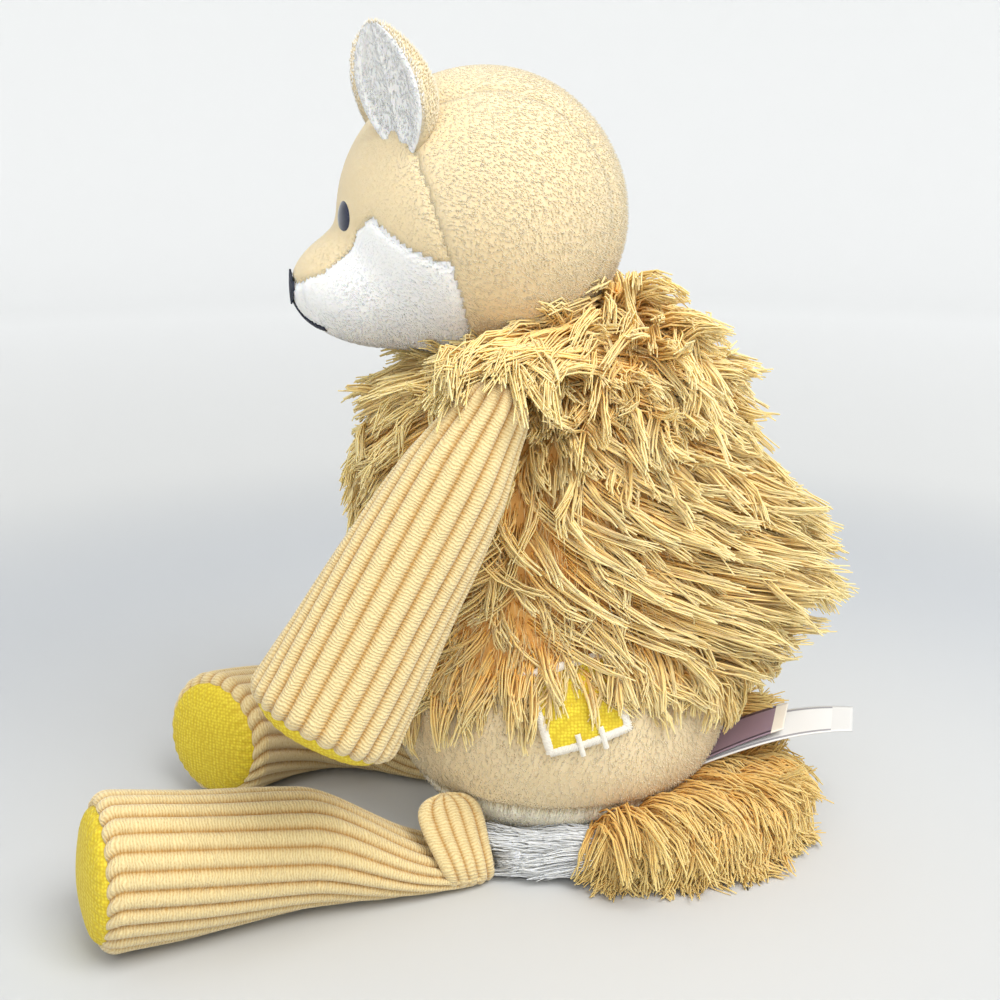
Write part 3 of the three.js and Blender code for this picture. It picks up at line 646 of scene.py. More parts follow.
WISP_YARN = Yarn(WHITE_PILE, 14, 2.4 * MM, 0.22 * MM)
FACE_STITCH = Stitch(DARK_THREAD, 0.42 * MM, 0.3 * MM, 0.3 * MM, 0.3)
EDGE_STITCH = Stitch(WHITE_THREAD, 0.5 * MM, 0.34 * MM, 0.5 * MM, 0.1)
TACK_STITCH = Stitch(WHITE_THREAD, 0.45 * MM, 0.3 * MM, 0.4 * MM, 0.06)


def dress(made: Piece, finish: Finish, body: Body, *nodes: str, fill: float | None = None) -> None:
    """Gives a piece its finish and its place on the frame.

    Args:
        made: the piece.
        finish: its finish.
        body: the body it moves with.
        nodes: the CAD nodes it stands for.
        fill: how full it is, if it is padded; not used.
    """
    if not made.data.materials:
        made.data.materials.append(finish.material)
    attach(made, body.value)
    if nodes:
        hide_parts(*nodes)
    log.info("%s: %d faces", made.name, len(made.data.polygons))


# Geometry node trees


class Growth:
    """A geometry tree with named inputs, and what turns its result into a plain mesh."""

    title = "growth"
    numbers: tuple[str, ...] = ()
    counts: tuple[str, ...] = ()

    def __init__(self) -> None:
        """Builds the tree."""
        self.tree = bpy.data.node_groups.new(self.title, "GeometryNodeTree")
        self.tree.interface.new_socket("Source", in_out="INPUT", socket_type="NodeSocketGeometry")
        self.keys: dict[str, str] = {}
        kinds = {**dict.fromkeys(self.numbers, "NodeSocketFloat"),
                 **dict.fromkeys((*self.counts, "Seed"), "NodeSocketInt"), "Material": "NodeSocketMaterial"}
        for label, kind in kinds.items():
            made = self.tree.interface.new_socket(label, in_out="INPUT", socket_type=kind)
            self.keys[label] = made.identifier
        self.tree.interface.new_socket("Result", in_out="OUTPUT", socket_type="NodeSocketGeometry")
        self.wiring = Wiring(self.tree)
        self.given = self.wiring.add("NodeGroupInput")
        grown = self.grow(self.given.of("Source"))
        real = self.wiring.add("GeometryNodeRealizeInstances", None, {0: grown})
        painted = self.wiring.add("GeometryNodeSetMaterial", None, {0: real, 2: self.given.of("Material")})
        self.wiring.add("NodeGroupOutput", None, {0: painted})

    def grow(self, source: Socket) -> Socket:
        """Adds the tree's own nodes.

        Args:
            source: the geometry that comes in.

        Returns:
            The geometry that goes out.
        """
        raise NotImplementedError

    def apply(self, source: Piece, name: str, finish: Finish, sizes: Fur | Yarn | Stitch | Wale,
              seed: int = 1) -> Piece:
        """Runs the tree on a mesh and removes that mesh's object.

        Args:
            source: the object whose mesh goes in. It is used up.
            name: the new object's name.
            finish: the material that it gets.
            sizes: what the tree's other inputs are read from.
            seed: fixes what is random.

        Returns:
            A plain mesh object.
        """
        modifier = source.modifiers.new(self.title, "NODES")
        modifier.node_group = self.tree
        modifier[self.keys["Seed"]] = seed
        modifier[self.keys["Material"]] = finish.material
        for label in (*self.numbers, *self.counts):
            modifier[self.keys[label]] = getattr(sizes, label.lower().replace(" ", "_"))
        depsgraph = bpy.context.evaluated_depsgraph_get()
        evaluated = source.evaluated_get(depsgraph)
        mesh = bpy.data.meshes.new_from_object(evaluated, preserve_all_data_layers=True, depsgraph=depsgraph)
        source.modifiers.remove(modifier)
        bpy.data.objects.remove(source)
        mesh.name = name
        return linked(name, mesh)

    def random_vector(self, spread: float, identity: Socket, salt: int) -> Socket:
        """A random vector for each identity, up to spread along each axis."""
        return self.wiring.add(
            "FunctionNodeRandomValue", {"data_type": "FLOAT_VECTOR"},
            {0: (-spread,) * 3, 1: (spread,) * 3, 7: identity, 8: self.given.of("Seed") + salt})

    def random_share(self, low: float, high: float, identity: Socket, salt: int) -> Socket:
        """A random number for each identity."""
        return self.wiring.add(
            "FunctionNodeRandomValue", {"data_type": "FLOAT"},
            {2: low, 3: high, 7: identity, 8: self.given.of("Seed") + salt}, 1)

    def store(self, geometry: Socket, name: str, data: Socket, domain: str = "POINT") -> Socket:
        """Keeps a number on the geometry."""
        return self.wiring.add("GeometryNodeStoreNamedAttribute", {"data_type": "FLOAT", "domain": domain},
                               {0: geometry, 2: name, 3: data})

    def tubes(self, curves: Socket, sides: int, radius: Socket, scale: Value = 1.0) -> Socket:
        """A closed tube along each curve."""
        ring = self.wiring.add("GeometryNodeCurvePrimitiveCircle", {"mode": "RADIUS"}, {0: sides, 4: radius})
        made = self.wiring.add("GeometryNodeCurveToMesh", None, {0: curves, 1: ring, 2: scale, 3: True})
        return self.wiring.add("GeometryNodeSetShadeSmooth", None, {0: made})

    def named(self, name: str, kind: str = "FLOAT") -> Socket:
        """Reads an attribute of the source."""
        return self.wiring.add("GeometryNodeInputNamedAttribute", {"data_type": kind}, {0: name})


class PileGrowth(Growth):
    """Short pile: a blade on each of many random places, leaning with the comb."""

    title = "pile"
    numbers = ("Density", "Length", "Width", "Lean", "Tousle")
    wisp_size = 7 * MM
    wisp_drift = 3.2

    def grow(self, source: Socket) -> Socket:
        """Scatters blades over a skin that has the attributes comb, cover and long."""
        add, vector, scaled = self.wiring.add, self.wiring.vector, self.wiring.scaled
        tousle = self.given.of("Tousle")
        dense = self.given.of("Density") * self.named("cover")
        scattered = add("GeometryNodeDistributePointsOnFaces", {"distribute_method": "RANDOM"},
                        {0: source, 4: dense, 6: self.given.of("Seed")})
        index = add("GeometryNodeInputIndex")
        position = add("GeometryNodeInputPosition")
        drift = scaled(self.wiring.drifting(self.wisp_size, position), tousle * self.wisp_drift)
        stray = scaled(self.random_vector(0.5, index, 1), tousle)
        lean = scaled(self.named("comb", "FLOAT_VECTOR"), self.given.of("Lean"))
        upright = vector("ADD", scattered.of("Normal"), lean)
        pointing = vector("ADD", upright, vector("ADD", drift, stray))
        turn = add("FunctionNodeAlignRotationToVector", {"axis": "Z"}, {2: pointing})
        cone = add("GeometryNodeMeshCone", {"fill_type": "NGON"}, {0: 3, 1: 1, 2: 1, 3: 0.0, 4: 0.5, 5: 1.0})
        cone = add("GeometryNodeSetShadeSmooth", None, {0: cone})
        blade = self.store(cone, "along", self.wiring.parts(position).of("Z"))
        long = self.given.of("Length") * self.named("long") * self.random_share(0.6, 1.15, index, 2)
        wide = self.given.of("Width")
        size = add("ShaderNodeCombineXYZ", None, {0: wide, 1: wide, 2: long})
        placed = add("GeometryNodeInstanceOnPoints", None, {0: scattered, 2: blade, 5: turn, 6: size})
        return self.store(placed, "tint", self.random_share(0.0, 1.0, index, 3), "INSTANCE")


class LockGrowth(Growth):
    """Locks of long yarn: each guide line becomes a bundle of wavy strands that gather at the tip."""

    title = "locks"
    numbers = ("Lock Radius", "Strand Radius", "Wave")
    counts = ("Strands", "Points")
    shortest = 0.74
    gathering = 0.45
    wave_size = 11 * MM
    wave_offset = 1.8 * MM
    straying = 0.12
    thinning = 0.4

    def grow(self, source: Socket) -> Socket:
        """Turns guide lines with the attribute tint into strands."""
        add, vector, scaled = self.wiring.add, self.wiring.vector, self.wiring.scaled
        lines = add("GeometryNodeMeshToCurve", None, {0: source})
        many = add("GeometryNodeDuplicateElements", {"domain": "SPLINE"}, {0: lines, 2: self.given.of("Strands")})
        spline = add("GeometryNodeInputIndex")
        ragged = add("GeometryNodeTrimCurve", {"mode": "FACTOR"},
                     {0: many, 2: 0.0, 3: self.random_share(self.shortest, 1.0, spline, 4)})
        soft = add("GeometryNodeCurveSplineType", {"spline_type": "CATMULL_ROM"}, {0: ragged})
        even = add("GeometryNodeResampleCurve", {"mode": "COUNT"}, {0: soft, 2: self.given.of("Points")})
        strand = add("GeometryNodeCurveOfPoint")
        along = add("GeometryNodeSplineParameter").of("Factor")
        gather = 1 - along * self.gathering
        spread = scaled(self.random_vector(1.0, strand, 5), self.given.of("Lock Radius") * gather)
        own = scaled(self.random_vector(1.0, strand, 6), self.wave_offset)
        curl = self.wiring.drifting(self.wave_size, vector("ADD", add("GeometryNodeInputPosition"), own))
        stray = scaled(self.random_vector(1.0, strand, 8), along * along * self.straying)
        curl = scaled(vector("ADD", curl, stray), self.given.of("Wave") * along)
        moved = add("GeometryNodeSetPosition", None, {0: even, 3: vector("ADD", spread, curl)})
        marked = self.store(moved, "along", along)
        tint = self.named("tint") * 0.6 + self.random_share(0.0, 0.4, strand, 7)
        marked = self.store(marked, "tint", tint)
        return self.tubes(marked, 3, self.given.of("Strand Radius"), 1.05 - (along ** 3) * self.thinning)


class StitchGrowth(Growth):
    """Satin stitches laid side by side across a path that has the attributes face and width."""

    title = "stitches"
    numbers = ("Pitch", "Thread Radius", "Rise", "Ragged")

    def grow(self, source: Socket) -> Socket:
        """Places an arched thread at each pitch."""
        add = self.wiring.add
        path = add("GeometryNodeMeshToCurve", None, {0: source})
        spots = add("GeometryNodeCurveToPoints", {"mode": "LENGTH"}, {0: path, 2: self.given.of("Pitch")})
        index = add("GeometryNodeInputIndex")
        turn = add("FunctionNodeAxesToRotation", {"primary_axis": "Z", "secondary_axis": "X"},
                   {0: self.named("face", "FLOAT_VECTOR"), 1: spots.of("Tangent")})
        rise = add("ShaderNodeCombineXYZ", None, {2: self.given.of("Rise") * 2})
        arch = add("GeometryNodeCurveQuadraticBezier", None, {0: 6, 1: (0.0, -0.5, 0.0), 2: rise, 3: (0.0, 0.5, 0.0)})
        thread = self.tubes(arch, 6, self.given.of("Thread Radius"))
        uneven = 1 + self.random_share(-1.0, 1.0, index, 8) * self.given.of("Ragged")
        size = add("ShaderNodeCombineXYZ", None, {0: 1.0, 1: self.named("width") * uneven, 2: 1.0})
        placed = add("GeometryNodeInstanceOnPoints", None, {0: spots, 2: thread, 5: turn, 6: size})
        return self.store(placed, "tint", self.random_share(0.0, 1.0, index, 9), "INSTANCE")


class WaleGrowth(Growth):
    """Raises the wales of corduroy on a skin that has the attributes across, in wales, and raised."""

    title = "wales"
    numbers = ("Height",)

    def grow(self, source: Socket) -> Socket:
        """Moves each point out along its normal."""
        add = self.wiring.add
        offset = abs(self.named("across").fraction() * 2 - 1)
        ridge = (1 - (offset ** 2.4) * 0.98) ** 0.8
        lift = ridge * self.named("raised") * self.given.of("Height")
        normal = add("GeometryNodeInputNormal")
        return add("GeometryNodeSetPosition", None, {0: source, 3: self.wiring.scaled(normal, lift)})


def line_object(name: str, lines: Array, values: dict[str, Array]) -> Piece:
    """Makes open lines of equal point count for a growth.

    Args:
        name: the object's name.
        lines: points by line, by place along it, by axis.
        values: attributes by line and place.

    Returns:
        An object of loose edges.
    """
    count, steps = lines.shape[:2]
    first = (np.arange(count)[:, None] * steps + np.arange(steps - 1)).ravel()
    flat = {key: data.reshape(count * steps, *data.shape[2:]) for key, data in values.items()}
    return mesh_object(name, lines.reshape(-1, 3), [], stacked(first, first + 1).tolist(), flat)


def pile_values(skin: Array, comb: Array | Place, cover: Array | float = 1,
                long: Array | float = 1) -> dict[str, Array]:
    """What a pile reads at a skin's points: the way it is combed, and the shares of its density and length."""
    flat = skin.shape[:-1]
    return {"comb": np.broadcast_to(np.asarray(comb, float), skin.shape), "cover": np.broadcast_to(cover, flat),
            "long": np.broadcast_to(long, flat)}


@dataclass
class Growths:
    """The four trees, each built once, and what they make."""

    pile: PileGrowth = field(default_factory=PileGrowth)
    locks: LockGrowth = field(default_factory=LockGrowth)
    stitches: StitchGrowth = field(default_factory=StitchGrowth)
    wales: WaleGrowth = field(default_factory=WaleGrowth)

    def cover(self, skin: Piece, fur: Fur, body: Body, node: str, seed: int, name: str = "",
              wall: float = 0, fill: float | None = None) -> None:
        """Grows a pile on a skin and dresses both.

        Args:
            skin: the ground of the pile.
            fur: the finishes and the sizes.
            body: the body that they move with.
            node: the CAD node that the skin stands for.
            seed: fixes what is random.
            name: the pile's name, if it isn't the skin's with _pile added.
            wall: the thickness that an open skin gets.
            fill: how full the skin is, if it is padded.
        """
        source = linked(skin.name, skin.data.copy())
        pile = self.pile.apply(source, name or f"{skin.name}_pile", fur.blades, fur, seed)
        if wall:
            solidify(skin, wall)
        dress(skin, fur.ground, body, node, fill=fill)
        dress(pile, fur.blades, body)

    def grow(self, name: str, lines: Array, tint: Array, yarn: Yarn, body: Body, seed: int) -> None:
        """Grows locks of yarn along guide lines, keeps them above the floor and dresses them.

        Args:
            name: the piece's name.
            lines: the guide lines.
            tint: how much of the warm, darker colour each line's lock gets: random, and painted shade on the trunk's
                deeper locks and on the tail.
            yarn: the finish and the sizes.
            body: the body that it moves with.
            seed: fixes what is random.
        """
        source = line_object(name, lines, {"tint": np.repeat(tint[:, None], lines.shape[1], axis=1)})
        made = self.locks.apply(source, name, yarn.finish, yarn, seed)
        places = np.zeros(len(made.data.vertices) * 3, np.float32)
        made.data.vertices.foreach_get("co", places)
        places[2::3] = np.maximum(places[2::3], 0.2 * MM)
        made.data.vertices.foreach_set("co", places)
        dress(made, yarn.finish, body)

    def sew(self, name: str, path: tuple[Array, Array, Array], stitch: Stitch, body: Body, *nodes: str,
            seed: int) -> None:
        """Sews stitches across a path and dresses them.

        Args:
            name: the piece's name.
            path: the path's points, its outward directions and the stitches' widths.
            stitch: the finish and the sizes.
            body: the body that they move with.
            nodes: the CAD nodes that they stand for.
            seed: fixes what is random.
        """
        points, faces, width = (part[None] for part in path)
        source = line_object(name, points, {"face": faces, "width": width})
        made = self.stitches.apply(source, name, stitch.finish, stitch, seed)
        dress(made, stitch.finish, body, *nodes)


# Forms


@dataclass(frozen=True)
class Station:
    """One section of the trunk: its half width, and how far it reaches forward and back."""

    z: float
    half_width: float
    front: float
    back: float


@dataclass(frozen=True)
class TrunkForm:
    """The trunk's skin and the outer face of its shag, by angle from straight ahead and height."""

    seat_radius: float = 20 * MM
    belly: Station = Station(*mm(54, 56, 59.5, 61.5))
    waist: Station = Station(*mm(82, 51, 60, 66))
    ribs: Station = Station(*mm(112, 48.5, 62, 66))
    chest: Station = Station(*mm(138, 45, 60, 57))
    shoulders: Station = Station(*mm(157, 39, 46, 48))
    collar: Station = Station(*mm(173, 29, 22, 38))
    nape: Station = Station(*mm(185, 12, 3, 24))
    hem_side: float = 72 * MM
    hem_ends: float = 55 * MM
    pile_hem: float = 3.2 * MM
    pile_chest: float = 7.5 * MM
    pile_front_extra: float = 1.5 * MM
    pile_back: float = 9 * MM
    rump: Station = Station(*mm(89, 30, 0, 23))
    throat: Station = Station(*mm(162, 13, 14, 0))

    def section(self, z: Array) -> tuple[Array, Array, Array]:
        """Half width, front and back at heights."""
        stations = (self.belly, self.waist, self.ribs, self.chest, self.shoulders, self.collar, self.nape)
        heights = np.array([station.z for station in stations])
        last = len(stations) - 1
        upper = np.clip(np.searchsorted(heights, z), 1, last)
        t = np.clip((z - heights[upper - 1]) / (heights[upper] - heights[upper - 1]), 0, 1)
        drop = self.belly.z / sqrt(1 - (self.seat_radius / self.belly.half_width) ** 2)
        bowl = np.sqrt(np.clip(1 - (np.minimum(z - self.belly.z, 0) / drop) ** 2, 0, 1))
        found = []
        for key in ("half_width", "front", "back"):
            sizes = np.array([getattr(station, key) for station in stations])
            before, low, high, after = (sizes[np.clip(upper + k, 0, last)] for k in (-2, -1, 0, 1))
            start, end = (high - before) / 2, (after - low) / 2
            found.append(low + t * (start + t * (3 * (high - low) - 2 * start - end
                                                 + t * (start + end - 2 * (high - low)))))
        middle = (self.belly.back - self.belly.front) / 2
        depth = (self.belly.back + self.belly.front) / 2 * bowl
        below = z <= self.belly.z
        return (np.where(below, self.belly.half_width * bowl, found[0]),
                np.where(below, depth - middle, found[1]), np.where(below, depth + middle, found[2]))

    @staticmethod
    def around(angle: Array, z: Array, half_width: Array, front: Array, back: Array) -> Array:
        """Points of a section."""
        return stacked(np.sin(angle) * half_width, (back - front) / 2 - np.cos(angle) * (back + front) / 2, z)

    def skin(self, angle: Array, z: Array, offset: float = 0) -> Array:
        """Points of the skin, moved outwards by an offset."""
        half_width, front, back = self.section(z)
        return self.around(angle, z, half_width + offset, front + offset, back + offset)

    def hem(self, angle: Array) -> Array:
        """The height of the shag's hem."""
        return blend(self.hem_ends, self.hem_side, np.sin(angle) ** 2)

    def pile(self, angle: Array, z: Array) -> Array:
        """Points of the shag's outer face. Below the hem it closes in on the skin."""
        half_width, front, back = self.section(z)
        side = blend(self.pile_hem, self.pile_chest,
                     smooth((z - self.hem_ends) / (self.ribs.z - self.hem_ends)))
        behind = self.pile_back + self.rump.back * np.exp(-(((z - self.rump.z) / self.rump.half_width) ** 2))
        ahead = side + self.pile_front_extra + self.throat.front * np.exp(
            -(((z - self.throat.z) / self.throat.half_width) ** 2))
        fade = blend(0.35, 1.0, smooth((z - self.hem(angle) + 20 * MM) / (22 * MM)))
        return self.around(angle, z, half_width + side * fade, front + ahead * fade, back + behind * fade)


@dataclass(frozen=True)
class Ball:
    """A centre and three radii."""

    centre: Place
    radii: Place

    def reach(self, start: Array, direction: Array) -> Array:
        """How far the surface is from a point inside, along directions."""
        from_centre = (start - np.array(self.centre)) / np.array(self.radii)
        step = direction / np.array(self.radii)
        a = (step * step).sum(-1)
        b = (step * from_centre).sum(-1)
        c = (from_centre * from_centre).sum(-1) - 1
        return (-b + np.sqrt(b * b - a * c)) / a


@dataclass(frozen=True)
class HeadForm:
    """A round skull with a short snout, as distances from a point inside both."""

    skull: Ball = Ball(mm(0, -26, 213), mm(44, 46, 46))
    snout: Ball = Ball(mm(0, -57.5, 190.5), mm(22, 30, 19))
    heart: Place = mm(0, -42, 200)
    crease: float = 7

    def point(self, direction: Array, offset: Array | float = 0) -> Array:
        """Points of the surface in given directions."""
        heart = np.array(self.heart)
        out = (self.skull.reach(heart, direction) ** self.crease
               + self.snout.reach(heart, direction) ** self.crease) ** (1 / self.crease)
        return heart + direction * (out + offset)[..., None]

    def clear(self, points: Array, gap: float) -> Array:
        """Moves points that are nearer than a gap, or inside, out of the head."""
        away = points - np.array(self.heart)
        direction = unit(away)
        surface = self.point(direction, np.full(points.shape[:-1], gap))
        inside = np.linalg.norm(away, axis=-1) < np.linalg.norm(surface - np.array(self.heart), axis=-1)
        return np.where(inside[..., None], surface, points)

    def front(self, x: Array, z: Array, offset: float = 0) -> Array:
        """Points of the face at given x and z."""
        x, z = np.broadcast_arrays(x, z)
        y = np.full(x.shape, -90 * MM)
        heart = np.array(self.heart)
        for _ in range(30):
            found = self.point(unit(stacked(x, y, z) - heart))
            y = found[..., 1]
        return self.point(unit(stacked(x, y, z) - heart), np.full(x.shape, offset))


class Curve3:
    """A smooth line through space, read by share of its length."""

    samples = 400

    def __init__(self, at: Callable[[Array], Array]) -> None:
        """Measures a line given as a function of a number from 0 to 1."""
        self.places = at(np.linspace(0, 1, self.samples))
        steps = np.linalg.norm(np.diff(self.places, axis=0), axis=1)
        self.lengths = np.concatenate([[0], np.cumsum(steps)])
        self.length = float(self.lengths[-1])

    def point(self, share: Array) -> Array:
        """Points at shares of the length."""
        wanted = np.asarray(share) * self.length
        return np.stack([np.interp(wanted, self.lengths, self.places[:, k]) for k in range(3)], axis=-1)

    def tangent(self, share: Array) -> Array:
        """The direction at shares of the length."""
        step = 0.01
        low = np.clip(np.asarray(share) - step, 0, 1 - 2 * step)
        return unit(self.point(low + 2 * step) - self.point(low))


def even_steps(spots: Sequence[Place], steps: int) -> list[Array]:
    """Each size of some spots, read at even steps from the first spot to the last."""
    t = np.linspace(0, len(spots) - 1, steps)
    return [np.interp(t, np.arange(len(spots)), sizes) for sizes in np.transpose(spots)]


def bent(start: Array, middle: Array, end: Array, t: Array) -> Array:
    """Points of a line that bends towards a middle point."""
    return start * (1 - t) ** 2 + middle * 2 * t * (1 - t) + end * t ** 2


def normals(surface: Callable[[Array, Array], Array], a: Array, b: Array, steps: Place) -> Array:
    """Directions square to a surface, from its points a small step to each side.

    Args:
        surface: gives points by two numbers.
        a: the first number.
        b: the second.
        steps: the step of each.

    Returns:
        Directions of length 1.
    """
    east = surface(a + steps[0], b) - surface(a - steps[0], b)
    north = surface(a, b + steps[1]) - surface(a, b - steps[1])
    return unit(np.cross(east, north))


def through_curve(stops: Array) -> Curve3:
    """A smooth line through all stops."""
    ends = np.vstack([2 * stops[0] - stops[1], stops, 2 * stops[-1] - stops[-2]])

    def at(t: Array) -> Array:
        """Points by a number from 0 to 1."""
        spans = len(stops) - 1
        k = np.minimum((t * spans).astype(int), spans - 1)
        local = (t * spans - k)[:, None]
        p0, p1, p2, p3 = (ends[k + n] for n in range(4))
        d0, d1, d2 = (np.linalg.norm(b - a, axis=1, keepdims=True) ** 0.5 for a, b in ((p0, p1), (p1, p2), (p2, p3)))
        start = ((p1 - p0) / d0 - (p2 - p0) / (d0 + d1) + (p2 - p1) / d1) * d1
        end = ((p2 - p1) / d1 - (p3 - p1) / (d1 + d2) + (p3 - p2) / d2) * d1
        c2 = -3 * p1 + 3 * p2 - 2 * start - end
        c3 = 2 * p1 - 2 * p2 + start + end
        return p1 + start * local + c2 * local ** 2 + c3 * local ** 3

    return Curve3(at)


def frames(curve: Curve3, share: Array) -> tuple[Array, Array, Array]:
    """The directions forward, sideways and up along a curve."""
    forward = curve.tangent(share)
    level = np.cross((0, 0, 1), forward)
    across = np.array([1, 0, 0]) - forward * forward[:, :1]
    hangs = np.abs(forward[:, 2:]) > np.abs(forward[:, 1:2])
    side = unit(np.where(hangs, across, level))
    return forward, side, np.cross(forward, side)


def rings_across(curve: Curve3, share: Array, along: Array, radius: Array, angle: Array,
                 flatten: float = 1) -> Array:
    """Rings square to a curve.

    Args:
        curve: the line in the middle.
        share: where each ring is, as a share of the length.
        along: how far it is moved on past that.
        radius: its radius.
        angle: the angles round it.
        flatten: its width as a share of its height.

    Returns:
        Points by ring and angle.
    """
    forward, side, up = frames(curve, share)
    middle = curve.point(share) + forward * along[:, None]
    return (middle[:, None] + side[:, None] * (radius[:, None] * flatten * np.cos(angle))[..., None]
            + up[:, None] * (radius[:, None] * np.sin(angle))[..., None])


def arcs(start: Array, middle: Array, end: Array, steps: int) -> Array:
    """Lines that bend towards a middle point, one for each row."""
    return bent(start[:, None], middle[:, None], end[:, None], np.linspace(0, 1, steps)[None, :, None])


def curls(lines: Array, rng: np.random.Generator, size: float) -> Array:
    """Winds each line into a loose curl that grows towards its end."""
    count, steps = lines.shape[:2]
    t = np.linspace(0, 1, steps)[None, :, None]
    turn = t * rng.uniform(2, 6.5, (count, 1, 1)) + rng.uniform(0, 6.3, (count, 1, 1))
    first, second = (unit(rng.normal(size=(count, 1, 3))) for _ in range(2))
    reach = rng.uniform(0, size, (count, 1, 1)) * np.minimum(t * 2, 1)
    return lines + (first * np.cos(turn) + second * np.sin(turn)) * reach


# Sub-assemblies


@dataclass
class Trunk:
    """Belly, base panel and shag."""

    form: TrunkForm = field(default_factory=TrunkForm)
    base_top: float = 23.5 * MM
    belly_top: float = 86 * MM
    seam_depth: float = 2.0 * MM
    seam_width: float = 1.8 * MM
    lock_spacing: float = 6.0 * MM
    lock_length: Place = mm(17, 29)
    lock_steps: int = 7
    fringe_locks: int = 230
    ruff_locks: int = 410
    shoulder_locks: int = 60
    arm_top: Place = mm(67, -33, 158)
    arm_top_radius: float = 14 * MM
    columns: int = 144
    fill_inset: float = 2.7 * MM
    ground_lift: float = 0.8 * MM
    ruff_band: Place = mm(153, 184)
    ruff_top: float = 188 * MM
    drape_band: Place = mm(160, 180)
    beside_band: Place = mm(134, 170)
    head: HeadForm = field(default_factory=HeadForm)

    def build(self, growths: Growths) -> None:
        """Makes every piece of the trunk."""
        self.make_belly(growths)
        self.make_shag(growths)

    def skin_piece(self, name: str, low: float, high: float, rows: int) -> Piece:
        """A closed length of the trunk's skin, drawn in at the base seam."""
        angle = turns(self.columns)
        z = np.linspace(low, high, rows)[:, None]
        rings = self.form.skin(angle, z)
        middle = rings.mean(axis=1, keepdims=True)
        draw = self.seam_depth * np.exp(-(((z - self.base_top) / self.seam_width) ** 2))
        lumps = ripple(rings, 16 * MM, 3) * 0.5 * MM * smooth((z - 4 * MM) / (12 * MM))
        rings = rings + unit(rings - middle) * (lumps - draw)[..., None]
        comb = stacked(0, 0.5 * np.sin(angle * 3), -1)
        cover = np.where((z > 2 * MM) & (z < self.form.hem(angle) + 4 * MM), 1.0, 0.0)
        tufts = 1 + 3 * np.exp(-(((z - self.base_top) / (1.0 * MM)) ** 2))
        return loft(name, rings, pile_values(rings, comb, cover, tufts))

    def make_belly(self, growths: Growths) -> None:
        """The short pile belly and base."""
        for name, low, high, rows, node, fur in (
                ("belly", self.base_top, self.belly_top, 60, "lower_body_cover", BELLY_FUR),
                ("base", 0.0, self.base_top, 22, "base_panel", BASE_FUR)):
            growths.cover(self.skin_piece(name, low, high, rows), fur, Body.TRUNK, node, seed=11, fill=0.9)
        angle = turns(48)
        z = np.linspace(self.fill_inset, 183 * MM, 30)[:, None]
        filling = loft("body_fill", self.form.skin(angle, z, -self.fill_inset))
        dress(filling, STUFFING, Body.TRUNK, "body_stuffing")

    def lateral(self, angle: Array) -> Array:
        """How much the locks lean round the trunk: forwards on the chest and backwards behind the arm."""
        turned = (angle + pi) % (2 * pi) - pi
        lean = 1.25 * np.tanh((np.abs(turned) - radians(78)) / radians(30))
        return np.sign(turned) * lean * np.abs(np.sin(turned)) ** 0.4

    def guides(self, rng: np.random.Generator) -> tuple[Array, Array]:
        """Guide lines of the trunk's locks.

        Args:
            rng: the source of what is random.

        Returns:
            The lines, and a tint for each: painted shade on the deeper locks, plus a random part.
        """
        roots = []
        for z in np.arange(self.form.hem_ends + 5 * MM, 187 * MM, self.lock_spacing * 0.85):
            half_width, front, back = self.form.section(np.array(z))
            around = pi * (half_width + (front + back) / 2)
            count = max(5, round(float(around) / self.lock_spacing))
            angle = (np.arange(count) + rng.uniform(-0.4, 0.4, count)) / count * 2 * pi
            height = z + rng.uniform(-0.4, 0.4, count) * self.lock_spacing
            keep = height > self.form.hem(angle) + 2 * MM
            roots.append(stacked(angle[keep], height[keep]))
        root = np.concatenate(roots)
        count = len(root)
        t = np.linspace(0, 1, self.lock_steps)[None]
        collar = smooth((root[:, 1] - 160 * MM) / (16 * MM))[:, None]
        length = rng.uniform(*self.lock_length, count)[:, None] * (1 - 0.25 * collar)
        slope = (self.lateral(root[:, 0]) * 0.85 + rng.normal(0, 0.32, count) * (1 + collar[:, 0]))[:, None]
        bend = rng.normal(0, 0.55, count)[:, None] * (1 + collar)
        down = length * t / np.sqrt(1 + slope ** 2)
        round_trunk = down * slope + length * bend * t ** 2 * 0.6
        z = root[:, 1:] - down * (0.9 - 0.35 * collar)
        angle = root[:, :1] + round_trunk / (52 * MM)
        layer = rng.uniform(0.5, 1.17, count)[:, None]
        height = layer * np.interp(t, [0, 0.2, 0.5, 0.8, 1], [0, 0.4, 0.75, 1.0, 1.22]) - 0.06
        inner = self.form.skin(angle, z)
        outer = self.form.pile(angle, z)
        lines = inner + (outer - inner) * height[..., None]
        # Deeper locks get more of the warm, darker colour: painted shade in the depth of the shag.
        deep = (1.17 - layer[:, 0]) / 0.67
        return lines, 0.45 * deep + rng.uniform(0, 0.35, count)

    def clear(self, lines: Array) -> Array:
        """Moves lines out of the head and of the round tops of the arms."""
        lines = self.head.clear(lines, 1.6 * MM)
        for side in Side:
            centre = side.place(self.arm_top)
            away = lines - centre
            distance = np.linalg.norm(away, axis=-1, keepdims=True)
            gap = self.arm_top_radius + 1.2 * MM
            lines = np.where(distance < gap, centre + away / distance * gap, lines)
        return lines

